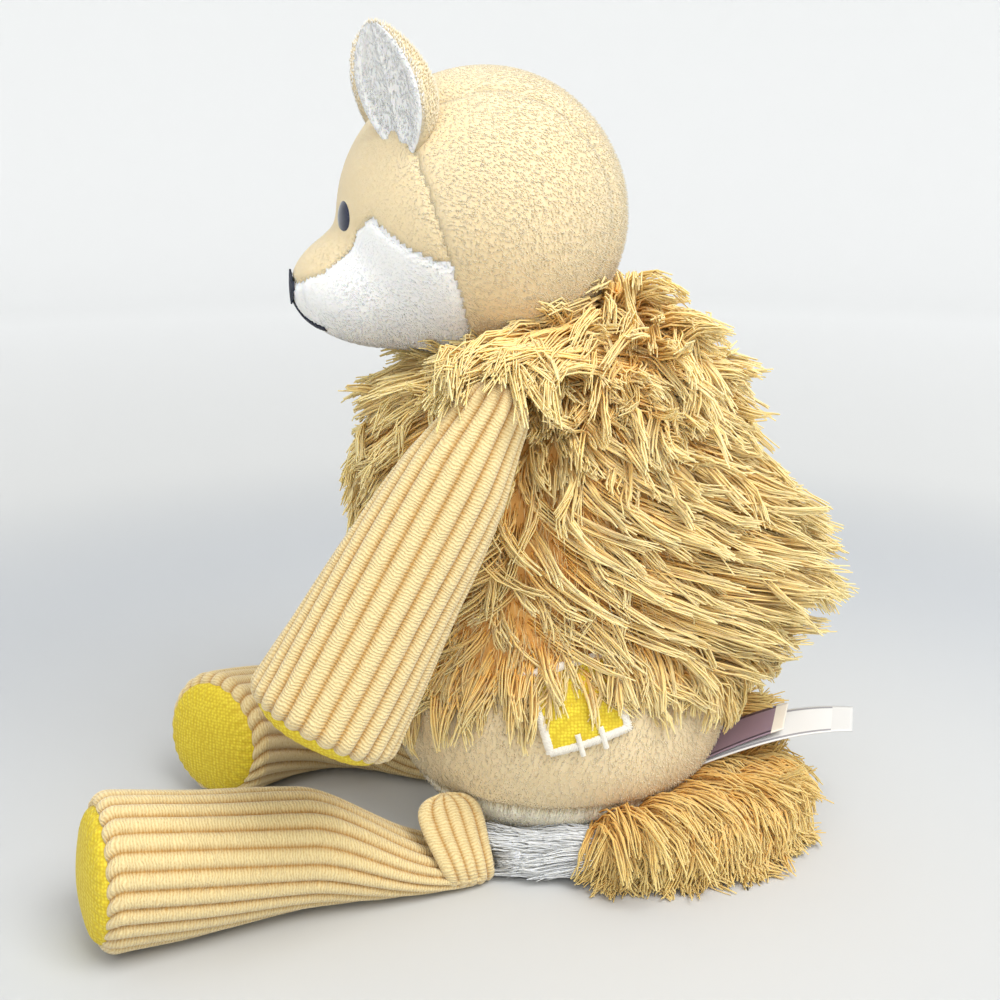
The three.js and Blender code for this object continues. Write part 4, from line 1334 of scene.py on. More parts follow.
    def ruff_guides(self, rng: np.random.Generator, count: int) -> Array:
        """Tousled locks round the neck that stand up, curl and fall outwards."""
        angle = rng.uniform(0, 2 * pi, count)
        z = rng.uniform(*self.ruff_band, count)
        start = self.form.skin(angle, z, -0.5 * MM)
        out = outwards(angle)
        around = outwards(angle + pi / 2)
        up = np.array([0, 0, 1.0])
        reach, rise, drop, drift = (sizes[:, None] * MM for sizes in (
            rng.uniform(12, 25, count),
            rng.uniform(3, 17, count) * smooth((z - 150 * MM) / (32 * MM)) * (0.8 + 0.5 * np.cos(angle)),
            rng.uniform(-3, 20, count), rng.normal(0, 9, count)))
        middle = start + out * reach * 0.35 + up * rise * 1.7
        end = start + out * reach + up * (rise - drop) + around * drift
        top = (self.ruff_top + rng.uniform(0, 7, count) * MM)[:, None]
        middle[:, 2:] = np.minimum(middle[:, 2:], top + 8 * MM)
        end[:, 2:] = np.minimum(end[:, 2:], top)
        return curls(arcs(start, middle, end, self.lock_steps), rng, 6 * MM)

    def fringe_guides(self, rng: np.random.Generator, count: int) -> Array:
        """Locks that hang over the hem."""
        angle = rng.uniform(0, 2 * pi, count)
        z = self.form.hem(angle) + rng.uniform(1, 12, count) * MM
        length = rng.uniform(13, 24, count)[:, None] * MM
        t = np.linspace(0, 1, self.lock_steps)[None]
        turned = angle[:, None] + (self.lateral(angle)[:, None] * 0.3 + rng.normal(0, 0.25, (count, 1))) * (
            length * t / (56 * MM))
        low = z[:, None] - length * t
        lift = rng.uniform(1.5, 5.5, (count, 1)) * MM * np.interp(t, [0, 0.3, 0.7, 1], [0, 0.8, 1, 0.9])
        skin = self.form.skin(turned, low)
        return skin + outwards(turned) * lift[..., None]

    def shoulder_guides(self, rng: np.random.Generator, side: Side, count: int) -> Array:
        """Locks that fall from the collar over the round top of an arm."""
        centre = side.place(self.arm_top)
        angle = side.value * rng.uniform(radians(30), radians(140), count)
        start = self.form.skin(angle, rng.uniform(*self.drape_band, count))
        spin, out = rng.uniform(-1.7, 1.7, count), rng.uniform(0.0, 1.0, count)
        aim = unit(stacked(side.value * out, spin * 0.9, rng.uniform(0.1, 0.9, count)))
        end = centre + aim * (self.arm_top_radius + rng.uniform(1.5, 5, count)[:, None] * MM)
        over = centre * (0.72, 1, 1) + stacked(0, spin * 10 * MM, 18 * MM + out * 6 * MM)
        draped = curls(arcs(start, over, end, self.lock_steps), rng, 6 * MM)
        angle = side.value * rng.uniform(radians(58), radians(125), count)
        start = self.form.skin(angle, rng.uniform(*self.beside_band, count))
        away = outwards(angle, rng.uniform(-1.2, 0.3, count))
        end = start + away * rng.uniform(9, 17, (count, 1)) * MM
        beside = curls(arcs(start, (start + end) / 2 + np.array([0, 0, 3 * MM]), end, self.lock_steps), rng, 3 * MM)
        return np.concatenate([draped, beside])

    def make_shag(self, growths: Growths) -> None:
        """The ground under the shag with its short underfur, and the locks in several pieces."""
        angle = turns(96)
        share = np.linspace(0, 1, 50)[:, None]
        z = blend(self.form.hem(angle) + 1 * MM, np.full_like(angle, 186 * MM), share)
        rings = self.form.skin(angle, z, self.ground_lift)
        ground = loft("shag_ground", rings, pile_values(rings, (0, 0, -1)))
        growths.cover(ground, SHAG_FUR, Body.TRUNK, "shag_body_cover", seed=19, name="shag_under", fill=0.8)
        rng = np.random.default_rng(7)
        lines, tint = self.guides(rng)
        root = lines[:, 0]
        facing = np.degrees(np.arctan2(root[:, 0], -root[:, 1])) % 360
        for k in range(6):
            chosen = (facing >= 60 * k) & (facing < 60 * k + 60)
            growths.grow(f"shag_{k + 1}", self.clear(lines[chosen]), tint[chosen], TRUNK_YARN, Body.TRUNK, 20 + k)
        fringe = self.fringe_guides(rng, self.fringe_locks)
        growths.grow("shag_fringe", fringe, rng.uniform(0, 1, len(fringe)), TRUNK_YARN, Body.TRUNK, 28)
        ruff = self.clear(self.ruff_guides(rng, self.ruff_locks))
        for k in range(3):
            part = ruff[k::3]
            growths.grow(f"shag_ruff_{k + 1}", part, rng.uniform(0, 0.7, len(part)), TRUNK_YARN, Body.TRUNK, 40 + k)
        for side in Side:
            drape = self.clear(self.shoulder_guides(rng, side, self.shoulder_locks))
            growths.grow(f"shag_shoulder_{side.word}", drape, rng.uniform(0, 1, len(drape)), TRUNK_YARN, Body.TRUNK,
                         30 + side.value)


@dataclass
class Head:
    """The head's panels, their pile, the eyes and the embroidered nose and mouth."""

    form: HeadForm = field(default_factory=HeadForm)
    columns: int = 168
    rows: int = 114
    seam_foot: Place = mm(-36, 187)
    seam_lean: float = 0.304
    crown_half: float = 25 * MM
    seam_depth: float = 0.9 * MM
    muzzle_edge: tuple[Place, ...] = route(
        (0, 192.5), (8, 192.5), (15.5, 196), (19.5, 209.5),
        (26, 213.5), (40, 200), (60, 200))
    nose: tuple[Place, ...] = route(
        (-6, 191.4, 2.4), (-3.5, 190.8, 7.6), (0, 190.4, 9.2),
        (3.5, 190.8, 7.6), (6, 191.4, 2.4))
    mouth: tuple[Place, ...] = route(
        (-8.5, 178, 2), (-5, 179, 3.4), (0, 182, 3),
        (5, 179, 3.4), (8.5, 178, 2))
    stem: tuple[Place, ...] = route((0, 187, 2.4), (0, 181, 2.6))
    dart: float = 9.8 * MM
    dart_width: float = 0.9 * MM
    dart_depth: float = 0.8 * MM
    seam_width: float = 1.6 * MM
    fill_inset: float = 2.9 * MM
    eye_place: Place = mm(13, -75, 214.5)
    eye_radius: float = 6 * MM
    eye_height: float = 2.4 * MM
    eye_sink: float = 1.0 * MM
    eye_seat: float = 0.8 * MM
    stem_share: float = 0.3
    stem_length: float = 9 * MM
    rim_thickness: float = 0.33 * MM
    wall: float = 1.8 * MM

    def build(self, growths: Growths) -> None:
        """Makes every piece of the head."""
        self.make_panels(growths)
        self.make_eyes()
        self.make_face_stitches(growths)

    def seam_distances(self, points: Array) -> tuple[Array, Array, Array]:
        """Signed distances from the face seam, the crown seams and the muzzle's edge."""
        y, z = self.seam_foot
        face = points[..., 1] - y + (points[..., 2] - z) * self.seam_lean
        crown = np.abs(points[..., 0]) - self.crown_half
        edge = np.array(self.muzzle_edge)
        muzzle = np.interp(np.abs(points[..., 0]), edge[:, 0], edge[:, 1]) - points[..., 2]
        return face, crown, muzzle

    def bare(self, points: Array) -> Array:
        """How bare of pile each place is: under the eyes and the stitches."""
        eye = np.array(self.eye_place)
        mirrored = points.copy()
        mirrored[..., 0] = np.abs(points[..., 0])
        aside = mirrored - eye
        aside[..., 1] *= 0.35
        found = 1 - smooth((np.linalg.norm(aside, axis=-1) - self.eye_radius * 0.92) / (1.2 * MM))
        for spots in (self.nose, self.mouth, self.stem):
            for x, z, width in zip(*even_steps(spots, 40)):
                tall = width / 2 if spots is self.nose else 0.4 * MM
                gap = np.hypot(points[..., 0] - x, np.maximum(np.abs(points[..., 2] - z) - tall, 0))
                near = 1 - smooth((gap - 0.7 * MM) / (0.9 * MM))
                found = np.maximum(found, np.where(points[..., 1] < -70 * MM, near, 0))
        return found

    def make_panels(self, growths: Growths) -> None:
        """Five sewn panels, drawn in along their seams, with short pile."""
        polar = np.linspace(0.012, pi - 0.012, self.rows)[:, None]
        angle = turns(self.columns)
        direction = stacked(np.sin(polar) * np.sin(angle), -np.cos(polar), np.sin(polar) * np.cos(angle))
        flat = self.form.point(direction)
        face, crown, muzzle = self.seam_distances(flat)
        behind = face > 0
        nearest = np.abs(face)
        nearest = np.where(behind, np.minimum(nearest, np.abs(crown)), np.minimum(nearest, np.abs(muzzle) * 1.3))
        draw = self.seam_depth * np.exp(-((nearest / self.seam_width) ** 2))
        front = smooth((-flat[..., 1] - 72 * MM) / (6 * MM)) * smooth((195 * MM - flat[..., 2]) / (3 * MM))
        dart = np.exp(-(((np.abs(flat[..., 0]) - self.dart) / self.dart_width) ** 2))
        draw = draw + self.dart_depth * dart * front * smooth((flat[..., 2] - 181 * MM) / (3 * MM))
        lumps = ripple(flat, 17 * MM, 5) * 0.45 * MM
        points = self.form.point(direction, lumps - draw)
        count = self.rows * self.columns
        whole = np.vstack([points.reshape(-1, 3), points[0].mean(0), points[-1].mean(0)])
        faces = grid_faces(self.rows, self.columns, True)
        k = np.arange(self.columns)
        after = (k + 1) % self.columns
        last = count - self.columns
        caps = np.concatenate([stacked(count, after, k, k), stacked(count + 1, last + k, last + after, last + after)])
        every = np.concatenate([faces, caps])
        if inside_out(whole, [list(dict.fromkeys(corners)) for corners in every.tolist()]):
            every = every[:, ::-1]
        middle = whole[every].mean(axis=1)
        face, crown, muzzle = self.seam_distances(middle)
        back = unit(np.array([0.0, 1.0, -0.35]))
        covered = 1 - self.bare(whole)
        panels = (
            ("face", "face_cover", (face <= 0) & (muzzle <= 0), HEAD_FUR),
            ("muzzle", "muzzle_cover", (face <= 0) & (muzzle > 0), MUZZLE_FUR),
            ("crown", "head_crown_cover", (face > 0) & (crown <= 0), HEAD_FUR),
            ("head_left", "head_side_left", (face > 0) & (crown > 0) & (middle[:, 0] > 0), HEAD_FUR),
            ("head_right", "head_side_right", (face > 0) & (crown > 0) & (middle[:, 0] < 0), HEAD_FUR),
        )
        for number, (name, node, chosen, fur) in enumerate(panels):
            kept = every[chosen]
            used, renumbered = np.unique(kept, return_inverse=True)
            corners = [list(dict.fromkeys(row)) for row in renumbered.reshape(kept.shape).tolist()]
            values = pile_values(whole[used], back, covered[used], fur.cut)
            skin = mesh_object(name, whole[used], corners, values=values)
            growths.cover(skin, fur, Body.HEAD, node, seed=40 + number, wall=self.wall, fill=0.9)
        inner = self.form.point(direction[::3, ::4], np.full((self.rows // 3, self.columns // 4), -self.fill_inset))
        dress(loft("head_fill", inner), STUFFING, Body.HEAD, "head_stuffing")

    def make_eyes(self) -> None:
        """Glossy domed eyes with a thin pale rim."""
        skull = np.array(self.form.skull.centre)
        axis = unit(np.array(self.eye_place) - skull)
        heart = np.array(self.form.heart)
        seat = self.form.point(unit(np.array(self.eye_place) - heart)[None], np.zeros(1))[0]
        turn = Vector((0, 0, 1)).rotation_difference(Vector(axis)).to_matrix().to_4x4()
        place = Matrix.Translation(seat - axis * self.eye_sink) @ turn
        lift = np.radians(np.linspace(90, 0, 14))
        dome = stacked(self.eye_radius * np.cos(lift), self.eye_height * np.sin(lift))
        stem = self.stem_share * self.eye_radius
        under = np.array([[self.eye_radius * 0.98, -self.eye_seat], [stem, -self.eye_seat],
                          [stem, -self.stem_length], [1e-5, -self.stem_length]])
        eye_profile = np.vstack([dome[1:], under])
        bead = np.radians(np.linspace(0, 360, 12, endpoint=False))
        for side in Side:
            mirror = Matrix.Scale(side.value, 4, (1, 0, 0))
            eye = lathe(f"eye_dome_{side.word}", eye_profile, 40, mirror @ place)
            dress(eye, EYE, Body.HEAD, f"eye_{side.word}", f"eye_washer_{side.word}")
            rim = ring(f"eye_rim_{side.word}", self.eye_radius + 0.05 * MM, self.rim_thickness, bead, mirror @ place)
            dress(rim, EYE_RIM, Body.HEAD)

    def face_path(self, spots: Sequence[Place], steps: int) -> tuple[Array, Array, Array]:
        """A path on the face through spots of x, z and stitch width."""
        x, z, width = even_steps(spots, steps)
        return self.form.front(x, z, 0.25 * MM), normals(self.form.front, x, z, mm(0.5, 0.5)), width

    def make_face_stitches(self, growths: Growths) -> None:
        """The nose as upright satin stitches, and the mouth as short ones across its line."""
        for name, node, routes in (("nose", "nose_stitching", (self.nose,)),
                                   ("mouth", "mouth_stitching", (self.mouth, self.stem))):
            for number, spots in enumerate(routes):
                label, nodes = (f"{name}_stem_threads", ()) if number else (f"{name}_threads", (node,))
                growths.sew(label, self.face_path(spots, 24), FACE_STITCH, Body.HEAD, *nodes, seed=50 + number)


def lathe(name: str, profile: Array, sides: int, place: Matrix) -> Piece:
    """Turns a profile of radius and height about Z, then places it."""
    angle = turns(sides)
    radius, height = profile[:, :1], profile[:, 1:]
    return loft(name, moved(stacked(radius * np.cos(angle), radius * np.sin(angle), height), place))


def ring(name: str, radius: float, thickness: float, bead: Array, place: Matrix) -> Piece:
    """A round bead bent into a ring about Z, then placed."""
    angle = turns(48)[:, None]
    out = radius + thickness * np.cos(bead)
    points = stacked(out * np.cos(angle), out * np.sin(angle), thickness * np.sin(bead))
    points = moved(points, place).reshape(-1, 3)
    rows, columns = 48, len(bead)
    faces = grid_faces(rows + 1, columns, True) % (rows * columns)
    if inside_out(points, faces.tolist()):
        faces = faces[:, ::-1]
    return mesh_object(name, points, faces.tolist())


def moved(points: Array, place: Matrix) -> Array:
    """Points turned and moved by a matrix."""
    matrix = np.array(place)
    return points @ matrix[:3, :3].T + matrix[:3, 3]


@dataclass
class Ear:
    """A cupped ear with a white lining."""

    side: Side
    base: Place = mm(28, -54, 237)
    tip: Place = mm(30.5, -62, 269.5)
    turn: float = radians(34)
    half_width: float = 14.5 * MM
    cup: float = 13.5 * MM
    pinch: float = 0.16
    fullness: float = 0.6
    wall: float = 3.4 * MM
    puff: float = 10 * MM

    def surface(self, inset: Array, share: Array, angle: Array) -> Array:
        """Points of the cup at an inset from its outer face."""
        across = np.array([cos(self.turn), sin(self.turn), 0])
        backwards = np.array([-sin(self.turn), cos(self.turn), 0])
        swelling = np.sin(pi * np.clip(self.pinch + (1 - self.pinch) * share, 0, 1)) ** self.fullness
        middle = blend(np.array(self.base), np.array(self.tip), share[..., None])
        width = np.maximum(self.half_width * swelling - inset, 0.2 * MM)
        depth = np.maximum(self.cup * swelling - inset, 0.2 * MM)
        return self.side.place(middle + across * (width * np.sin(angle))[..., None]
                               + backwards * (depth * np.cos(angle))[..., None])

    def build(self, growths: Growths) -> None:
        """Makes the ear's outer cup and its lining, each with its pile."""
        body = Body(f"ear_{self.side.word}")
        cover = self.shell(f"ear_cup_{self.side.word}", False, -0.12, 0.985)
        lining = self.shell(f"ear_inside_{self.side.word}", True, -0.17, 0.975)
        growths.cover(cover, EAR_FUR, body, f"ear_back_{self.side.word}", seed=60)
        growths.cover(lining, LINING_FUR, body, f"ear_lining_{self.side.word}", seed=60)

    def shell(self, name: str, lines_it: bool, low: float, high: float) -> Piece:
        """A closed crescent wall with rounded rims. The lining widens to take up the whole rim.

        Args:
            name: the object's name.
            lines_it: whether it is the lining and not the cover.
            low: the share of the ear's height where it starts.
            high: the share where it ends.

        Returns:
            The wall.
        """
        share = blend(low, high, np.linspace(0, 1, 40))[:, None]
        around = np.linspace(-pi / 2, pi / 2, 40)
        turn = np.linspace(0, pi, 7)[1:-1]
        seam = self.wall / 2 * (1 - smooth((np.abs(around) - radians(58)) / radians(30))) + 0.08 * MM
        outer, inner = ((seam, self.wall + self.puff * np.cos(around) ** 2) if lines_it
                        else (np.zeros(40), seam - 0.04 * MM))
        middle, half = (outer[-1] + inner[-1]) / 2, (inner[-1] - outer[-1]) / 2
        bulge = 0.07 * np.sin(turn) if lines_it else 0.01 * np.sin(turn)
        there = np.concatenate([around, pi / 2 + bulge, around[::-1], -pi / 2 - bulge])
        inset = np.concatenate([outer, middle - half * np.cos(turn), inner[::-1], middle + half * np.cos(turn)])
        rings = self.surface(inset + 0 * share, share + 0 * there, there + 0 * share)
        return loft(name, rings, pile_values(rings, (0, 0, 1)))


@dataclass
class Limb:
    """A corduroy arm or leg with a domed satin pad."""

    word: str
    side: Side
    curve: Curve3
    top_radius: float
    hem_radius: float
    pad_radius: float
    flatten: float = 1.0
    wale_pitch: float = 5.4 * MM
    wale_height: float = 1.7 * MM
    middle_angle: float = 0.0
    pad_dome: float = 5.5 * MM
    rim_round: float = 4 * MM
    sleeve_wall: float = 2.2 * MM
    slack: float = 0.0
    slack_length: float = 52 * MM
    gather: float = 0.0
    gather_length: float = 34 * MM
    top_rings: int = 16
    tube_rings: int = 90
    rim_rings: int = 9
    columns: int = 176
    fill_columns: int = 24
    fold_height: float = 1.1 * MM

    def build(self, growths: Growths) -> None:
        """Makes the sleeve, the stuffing and the pad, and the sleeve's folded end where there is slack."""
        body = Body(f"{self.word}_{self.side.word}")
        pad_word = "paw" if self.word == "arm" else "sole"
        name = f"{self.word}_{self.side.word}"
        sleeve = self.sleeve(name)
        sleeve = growths.wales.apply(sleeve, f"{name}_sleeve", CORDUROY, Wale(self.wale_height))
        dress(sleeve, CORDUROY, body, f"{self.word}_sleeve_{self.side.word}", fill=0.8)
        filling = self.rings(self.sleeve_wall + SEWN_GAP, self.fill_columns)[0]
        dress(loft(f"{name}_fill", filling), STUFFING, body, f"{self.word}_stuffing_{self.side.word}")
        dress(self.pad(f"{name}_{pad_word}"), SATIN, body, f"{pad_word}_pad_{self.side.word}", fill=0.9)
        if self.slack:
            fold = self.hip_fold(f"{name}_fold")
            fold = growths.wales.apply(fold, f"{name}_fold", CORDUROY, Wale(self.fold_height))
            dress(fold, CORDUROY, body, fill=0.6)

    def profile(self, inset: float) -> tuple[Array, Array, Array, Array]:
        """Shares, steps along, radii and distances of the limb's rings, from its round top to its hem."""
        top = self.top_radius - inset
        lift = np.radians(np.linspace(86, 6, self.top_rings))
        end = 1 - self.rim_round / self.curve.length
        tube = np.linspace(0, 1, self.tube_rings)
        rim = np.radians(np.linspace(12, 90, self.rim_rings))
        curl = self.hem_radius - self.pad_radius - SEWN_GAP
        share = np.concatenate([0 * lift, tube * end, np.full(self.rim_rings, end)])
        along = np.concatenate([-top * np.sin(lift), 0 * tube, self.rim_round * 0.9 * np.sin(rim)])
        radius = np.concatenate([top * np.cos(lift), blend(self.top_radius, self.hem_radius, tube) - inset,
                                 self.hem_radius - inset - curl * (1 - np.cos(rim))])
        gone = np.concatenate([-top * lift, tube * end * self.curve.length,
                               end * self.curve.length + self.rim_round * rim])
        return share, along, radius, gone

    def rings(self, inset: float, columns: int) -> tuple[Array, Array, Array, Array]:
        """Rings of the limb, with their radii, distances along and angles from the outer middle line."""
        share, along, radius, gone = self.profile(inset)
        angle = turns(columns) + self.middle_angle - pi
        narrow = 1 - self.gather * (1 - smooth((gone + self.top_radius) / self.gather_length))
        points = rings_across(self.curve, share, along, radius * narrow, angle, self.flatten)
        points[..., 2] *= 1 - self.slack * (1 - smooth(gone / self.slack_length))[:, None]
        return points, radius, gone, angle - self.middle_angle

    def sleeve(self, name: str) -> Piece:
        """The sleeve's smooth skin, mapped for its wales."""
        points, radius, gone, angle = self.rings(self.wale_height * 0.75, self.columns)
        across = radius[:, None] * angle / self.wale_pitch + 0.5
        fade_top = smooth((gone + self.top_radius * 1.2) / (10 * MM))[:, None]
        fade_hem = smooth((gone[-1] - gone) / (2.5 * MM) + 0.25)[:, None]
        seam = np.exp(-(((pi - np.abs(angle)) * radius[:, None] / (1.5 * MM)) ** 2))
        raised = fade_top * fade_hem * (1 - 0.8 * seam)
        sag = ripple(points, 18 * MM, 9 + len(name)) * 0.7 * MM
        middle = points.mean(axis=1, keepdims=True)
        points = points + unit(points - middle) * sag[..., None]
        uv = stacked(across, gone[:, None] * 100)
        return loft(name, points, {"across": across, "raised": raised}, uv)

    def hip_fold(self, name: str) -> Piece:
        """The empty end of the sleeve, folded up against the belly."""
        stops = np.array([(40, -46, 7), (50, -37, 4), (51.5, -38, 9), (46, -41, 18), (39, -44, 28)]) * MM
        curve = through_curve(self.side.place(stops))
        share = np.linspace(0, 1, 44)
        angle = turns(110)
        middle = curve.point(share)[:, None]
        broad = unit(np.array([-0.42 * self.side.value, 0.9, -0.12]))
        deep = unit(np.cross(curve.tangent(share), broad))[:, None]
        width = blend(6.5 * MM, 11.5 * MM, smooth(share))[:, None]
        ends = np.sqrt(np.clip(1 - (2 * share - 1) ** 8, 0.02, 1))[:, None]
        side = np.sign(np.cos(angle)) * np.abs(np.cos(angle)) ** 0.7
        points = middle + broad * (width * ends * side)[..., None] + deep * (
            1.9 * MM * ends * np.sin(angle))[..., None]
        across = 0.5 + side * 2.2 + 0 * share[:, None]
        uv = stacked(across, (share * curve.length * 100)[:, None])
        return loft(name, points, {"across": across, "raised": np.ones_like(across)}, uv)

    def pad(self, name: str) -> Piece:
        """The domed satin end, with small puckers at its edge."""
        lift = np.radians(np.linspace(88, -14, 26))
        rise = self.pad_dome * np.sin(lift)
        radius = (self.pad_radius + 0.4 * MM) * np.cos(np.maximum(lift, 0)) ** 0.85
        angle = turns(120)
        edge = smooth((radius / self.pad_radius - 0.62) / 0.3)[:, None]
        pucker = np.sin(angle * 29 + 2.0 * np.sin(angle * 3)) * 0.28 * MM * edge
        share = np.ones(len(lift))
        body = rings_across(self.curve, share, rise, radius, angle, self.flatten)
        forward = self.curve.tangent(np.ones(1))[0]
        body = body + forward * (pucker + ripple(body, 9 * MM, 21) * 0.3 * MM)[..., None]
        under = rings_across(self.curve, np.ones(2), np.full(2, -2.4 * MM), np.array([radius[-1], 1 * MM]), angle,
                             self.flatten)
        return loft(name, np.concatenate([body, under]))


@dataclass
class Tail:
    """The shaggy tail with its white tip."""

    stops: tuple[Place, ...] = route(
        (0, 65, 25), (9, 78.5, 16), (31, 75, 14.3),
        (49.5, 52, 14), (54, 20, 12.6), (46.5, -19.5, 9.2))
    root_radius: float = 9 * MM
    tip_radius: float = 8.4 * MM
    swell: float = 13.5 * MM
    tip_share: float = 0.81
    fullness: float = 0.6
    tuck: float = 0.8
    draw_in: float = 0.93
    core_share: float = 0.62
    fill_share: float = 0.45
    locks: int = 520
    under_locks: int = 120
    lock_steps: int = 8
    wisps: int = 140
    wisp_steps: int = 6

    def radius(self, share: Array) -> Array:
        """The tail's outer radius."""
        swelling = np.sin(pi * np.minimum(1, 0.28 + share * 0.9)) ** self.fullness
        taper = blend(self.root_radius, self.tip_radius, share)
        return (taper + (self.swell - taper) * swelling) * self.tuck

    def build(self, growths: Growths) -> None:
        """Makes the tail's core, its locks and its soft tip."""
        curve = through_curve(np.array(self.stops) * (self.draw_in, self.draw_in, self.tuck))
        angle = turns(60)
        share = np.linspace(0.0, self.tip_share, 60)
        core = rings_across(curve, share, np.zeros(60), self.radius(share) * self.core_share, angle)
        dress(loft("tail_core", core), SHAG_GROUND, Body.TAIL, "tail_cover", fill=0.7)
        inner = np.linspace(0.02, 0.97, 50)
        filling = rings_across(curve, inner, np.zeros(50), self.radius(inner) * self.fill_share, angle)
        dress(loft("tail_fill", filling), STUFFING, Body.TAIL, "tail_stuffing")

        lift = np.radians(np.linspace(10, 86, 10))
        shares = np.concatenate([np.linspace(self.tip_share, 1, 24), np.ones(10)])
        end = self.tip_radius * 0.8
        radii = np.concatenate([self.radius(np.linspace(self.tip_share, 1, 24)) * 0.8, end * np.cos(lift)])
        steps = np.concatenate([np.zeros(24), end * np.sin(lift)])
        tip_rings = rings_across(curve, shares, steps, radii, angle)
        tip = loft("tail_tip", tip_rings, pile_values(tip_rings, curve.tangent(shares)[:, None]))
        growths.cover(tip, TIP_FUR, Body.TAIL, "tail_tip_cover", seed=70, fill=0.7)
        self.make_locks(growths, curve)
        self.make_wisps(growths, curve)

    def make_wisps(self, growths: Growths, curve: Curve3) -> None:
        """Long soft white hair that lies along the tip."""
        rng = np.random.default_rng(29)
        count = self.wisps
        share = rng.uniform(self.tip_share - 0.03, 0.99, count)
        forward, side, up = frames(curve, share)
        turned = rng.uniform(0, 2 * pi, count)[:, None]
        radial = side * np.cos(turned) + up * np.sin(turned)
        start = curve.point(share) + radial * self.radius(share)[:, None] * self.core_share
        reach = rng.uniform(11, 24, (count, 1)) * MM
        middle = start + forward * reach * 0.5 + radial * 3 * MM
        end = start + forward * reach + radial * rng.uniform(-2, 5, (count, 1)) * MM
        lines = arcs(start, middle, end, self.wisp_steps)
        lines[..., 2] = np.clip(lines[..., 2], 1.2 * MM, 15 * MM)
        growths.grow("tail_wisps", lines, np.zeros(count), WISP_YARN, Body.TAIL, 72)

    def make_locks(self, growths: Growths, curve: Curve3) -> None:
        """Locks that wrap over the core and hang down outside, and a tuft at the root."""
        rng = np.random.default_rng(17)
        count, under, steps = self.locks, self.under_locks, self.lock_steps
        share = rng.uniform(0.0, self.tip_share - 0.01, count)
        forward, side, up = (found[:, None] for found in frames(curve, share))
        radius = self.radius(share)[:, None]
        t = np.linspace(0, 1, steps)[None]
        first = rng.uniform(radians(-15), radians(200), count)[:, None]
        inner = smooth((first - radians(120)) / radians(60))
        length = (rng.uniform(17, 27, count)[:, None] + 9 * inner) * MM
        turned = first - t * length / radius
        past = np.maximum(radians(-35) - turned, 0)
        turned = turned + past
        out = radius * (0.42 + 0.75 * inner * (1 - smooth(t / 0.5))
                        + rng.uniform(0.42, 0.68, (count, 1)) * smooth(t / 0.3) + past * 0.4)
        out = out + rng.uniform(0, 6.5 * MM, (count, 1)) * t ** 2
        drift = rng.normal(1, 8, (count, 1)) * MM * t
        lines = (curve.point(share)[:, None] + side * (out * np.cos(turned))[..., None]
                 + up * (out * np.sin(turned))[..., None] + forward * drift[..., None])
        for middle, spread, aim, tuft in (
                ((-4, 58, 31), (8, 3, 8), (-0.1, 0.8, 0.25), 45), ((24, 58, 12), (12, 7, 5), (0.4, 0.75, -0.05), 70)):
            start = (np.array(middle) + rng.uniform(-1, 1, (tuft, 3)) * spread) * MM
            end = start + unit(rng.normal(aim, (0.3, 0.15, 0.3), (tuft, 3))) * rng.uniform(17, 27, (tuft, 1)) * MM
            lines = np.concatenate([lines, arcs(start, (start + end) / 2 + np.array([0, 0, 3 * MM]), end, steps)])
        bearing, low = rng.uniform(radians(8), radians(72), under), rng.uniform(9, 18, under)
        out = stacked(np.cos(bearing), np.sin(bearing), 0)
        up = np.array([0, 0, MM])
        start = out * (40 * MM + low[:, None] * 0.35 * MM) + up * low[:, None]
        reach = rng.uniform(20, 33, (under, 1)) * MM
        end = start + out * reach + up * rng.uniform(-6, 6, (under, 1))
        end = end + rng.normal(0, 4 * MM, (under, 3)) * (1, 1, 0)
        lines = np.concatenate([lines, arcs(start, start + out * reach * 0.5 + up * 17, end, steps)])
        lines[..., 2] = np.maximum(lines[..., 2], 1.8 * MM)
        # The tail's locks get a higher tint than the trunk's, so more of the darker colour: painted shade over the
        # tail, spread at random.
        for k in range(3):
            chosen = lines[k::3]
            growths.grow(f"tail_locks_{k + 1}", chosen, rng.uniform(0.3, 1.3, len(chosen)), TAIL_YARN, Body.TAIL,
                         73 + k)


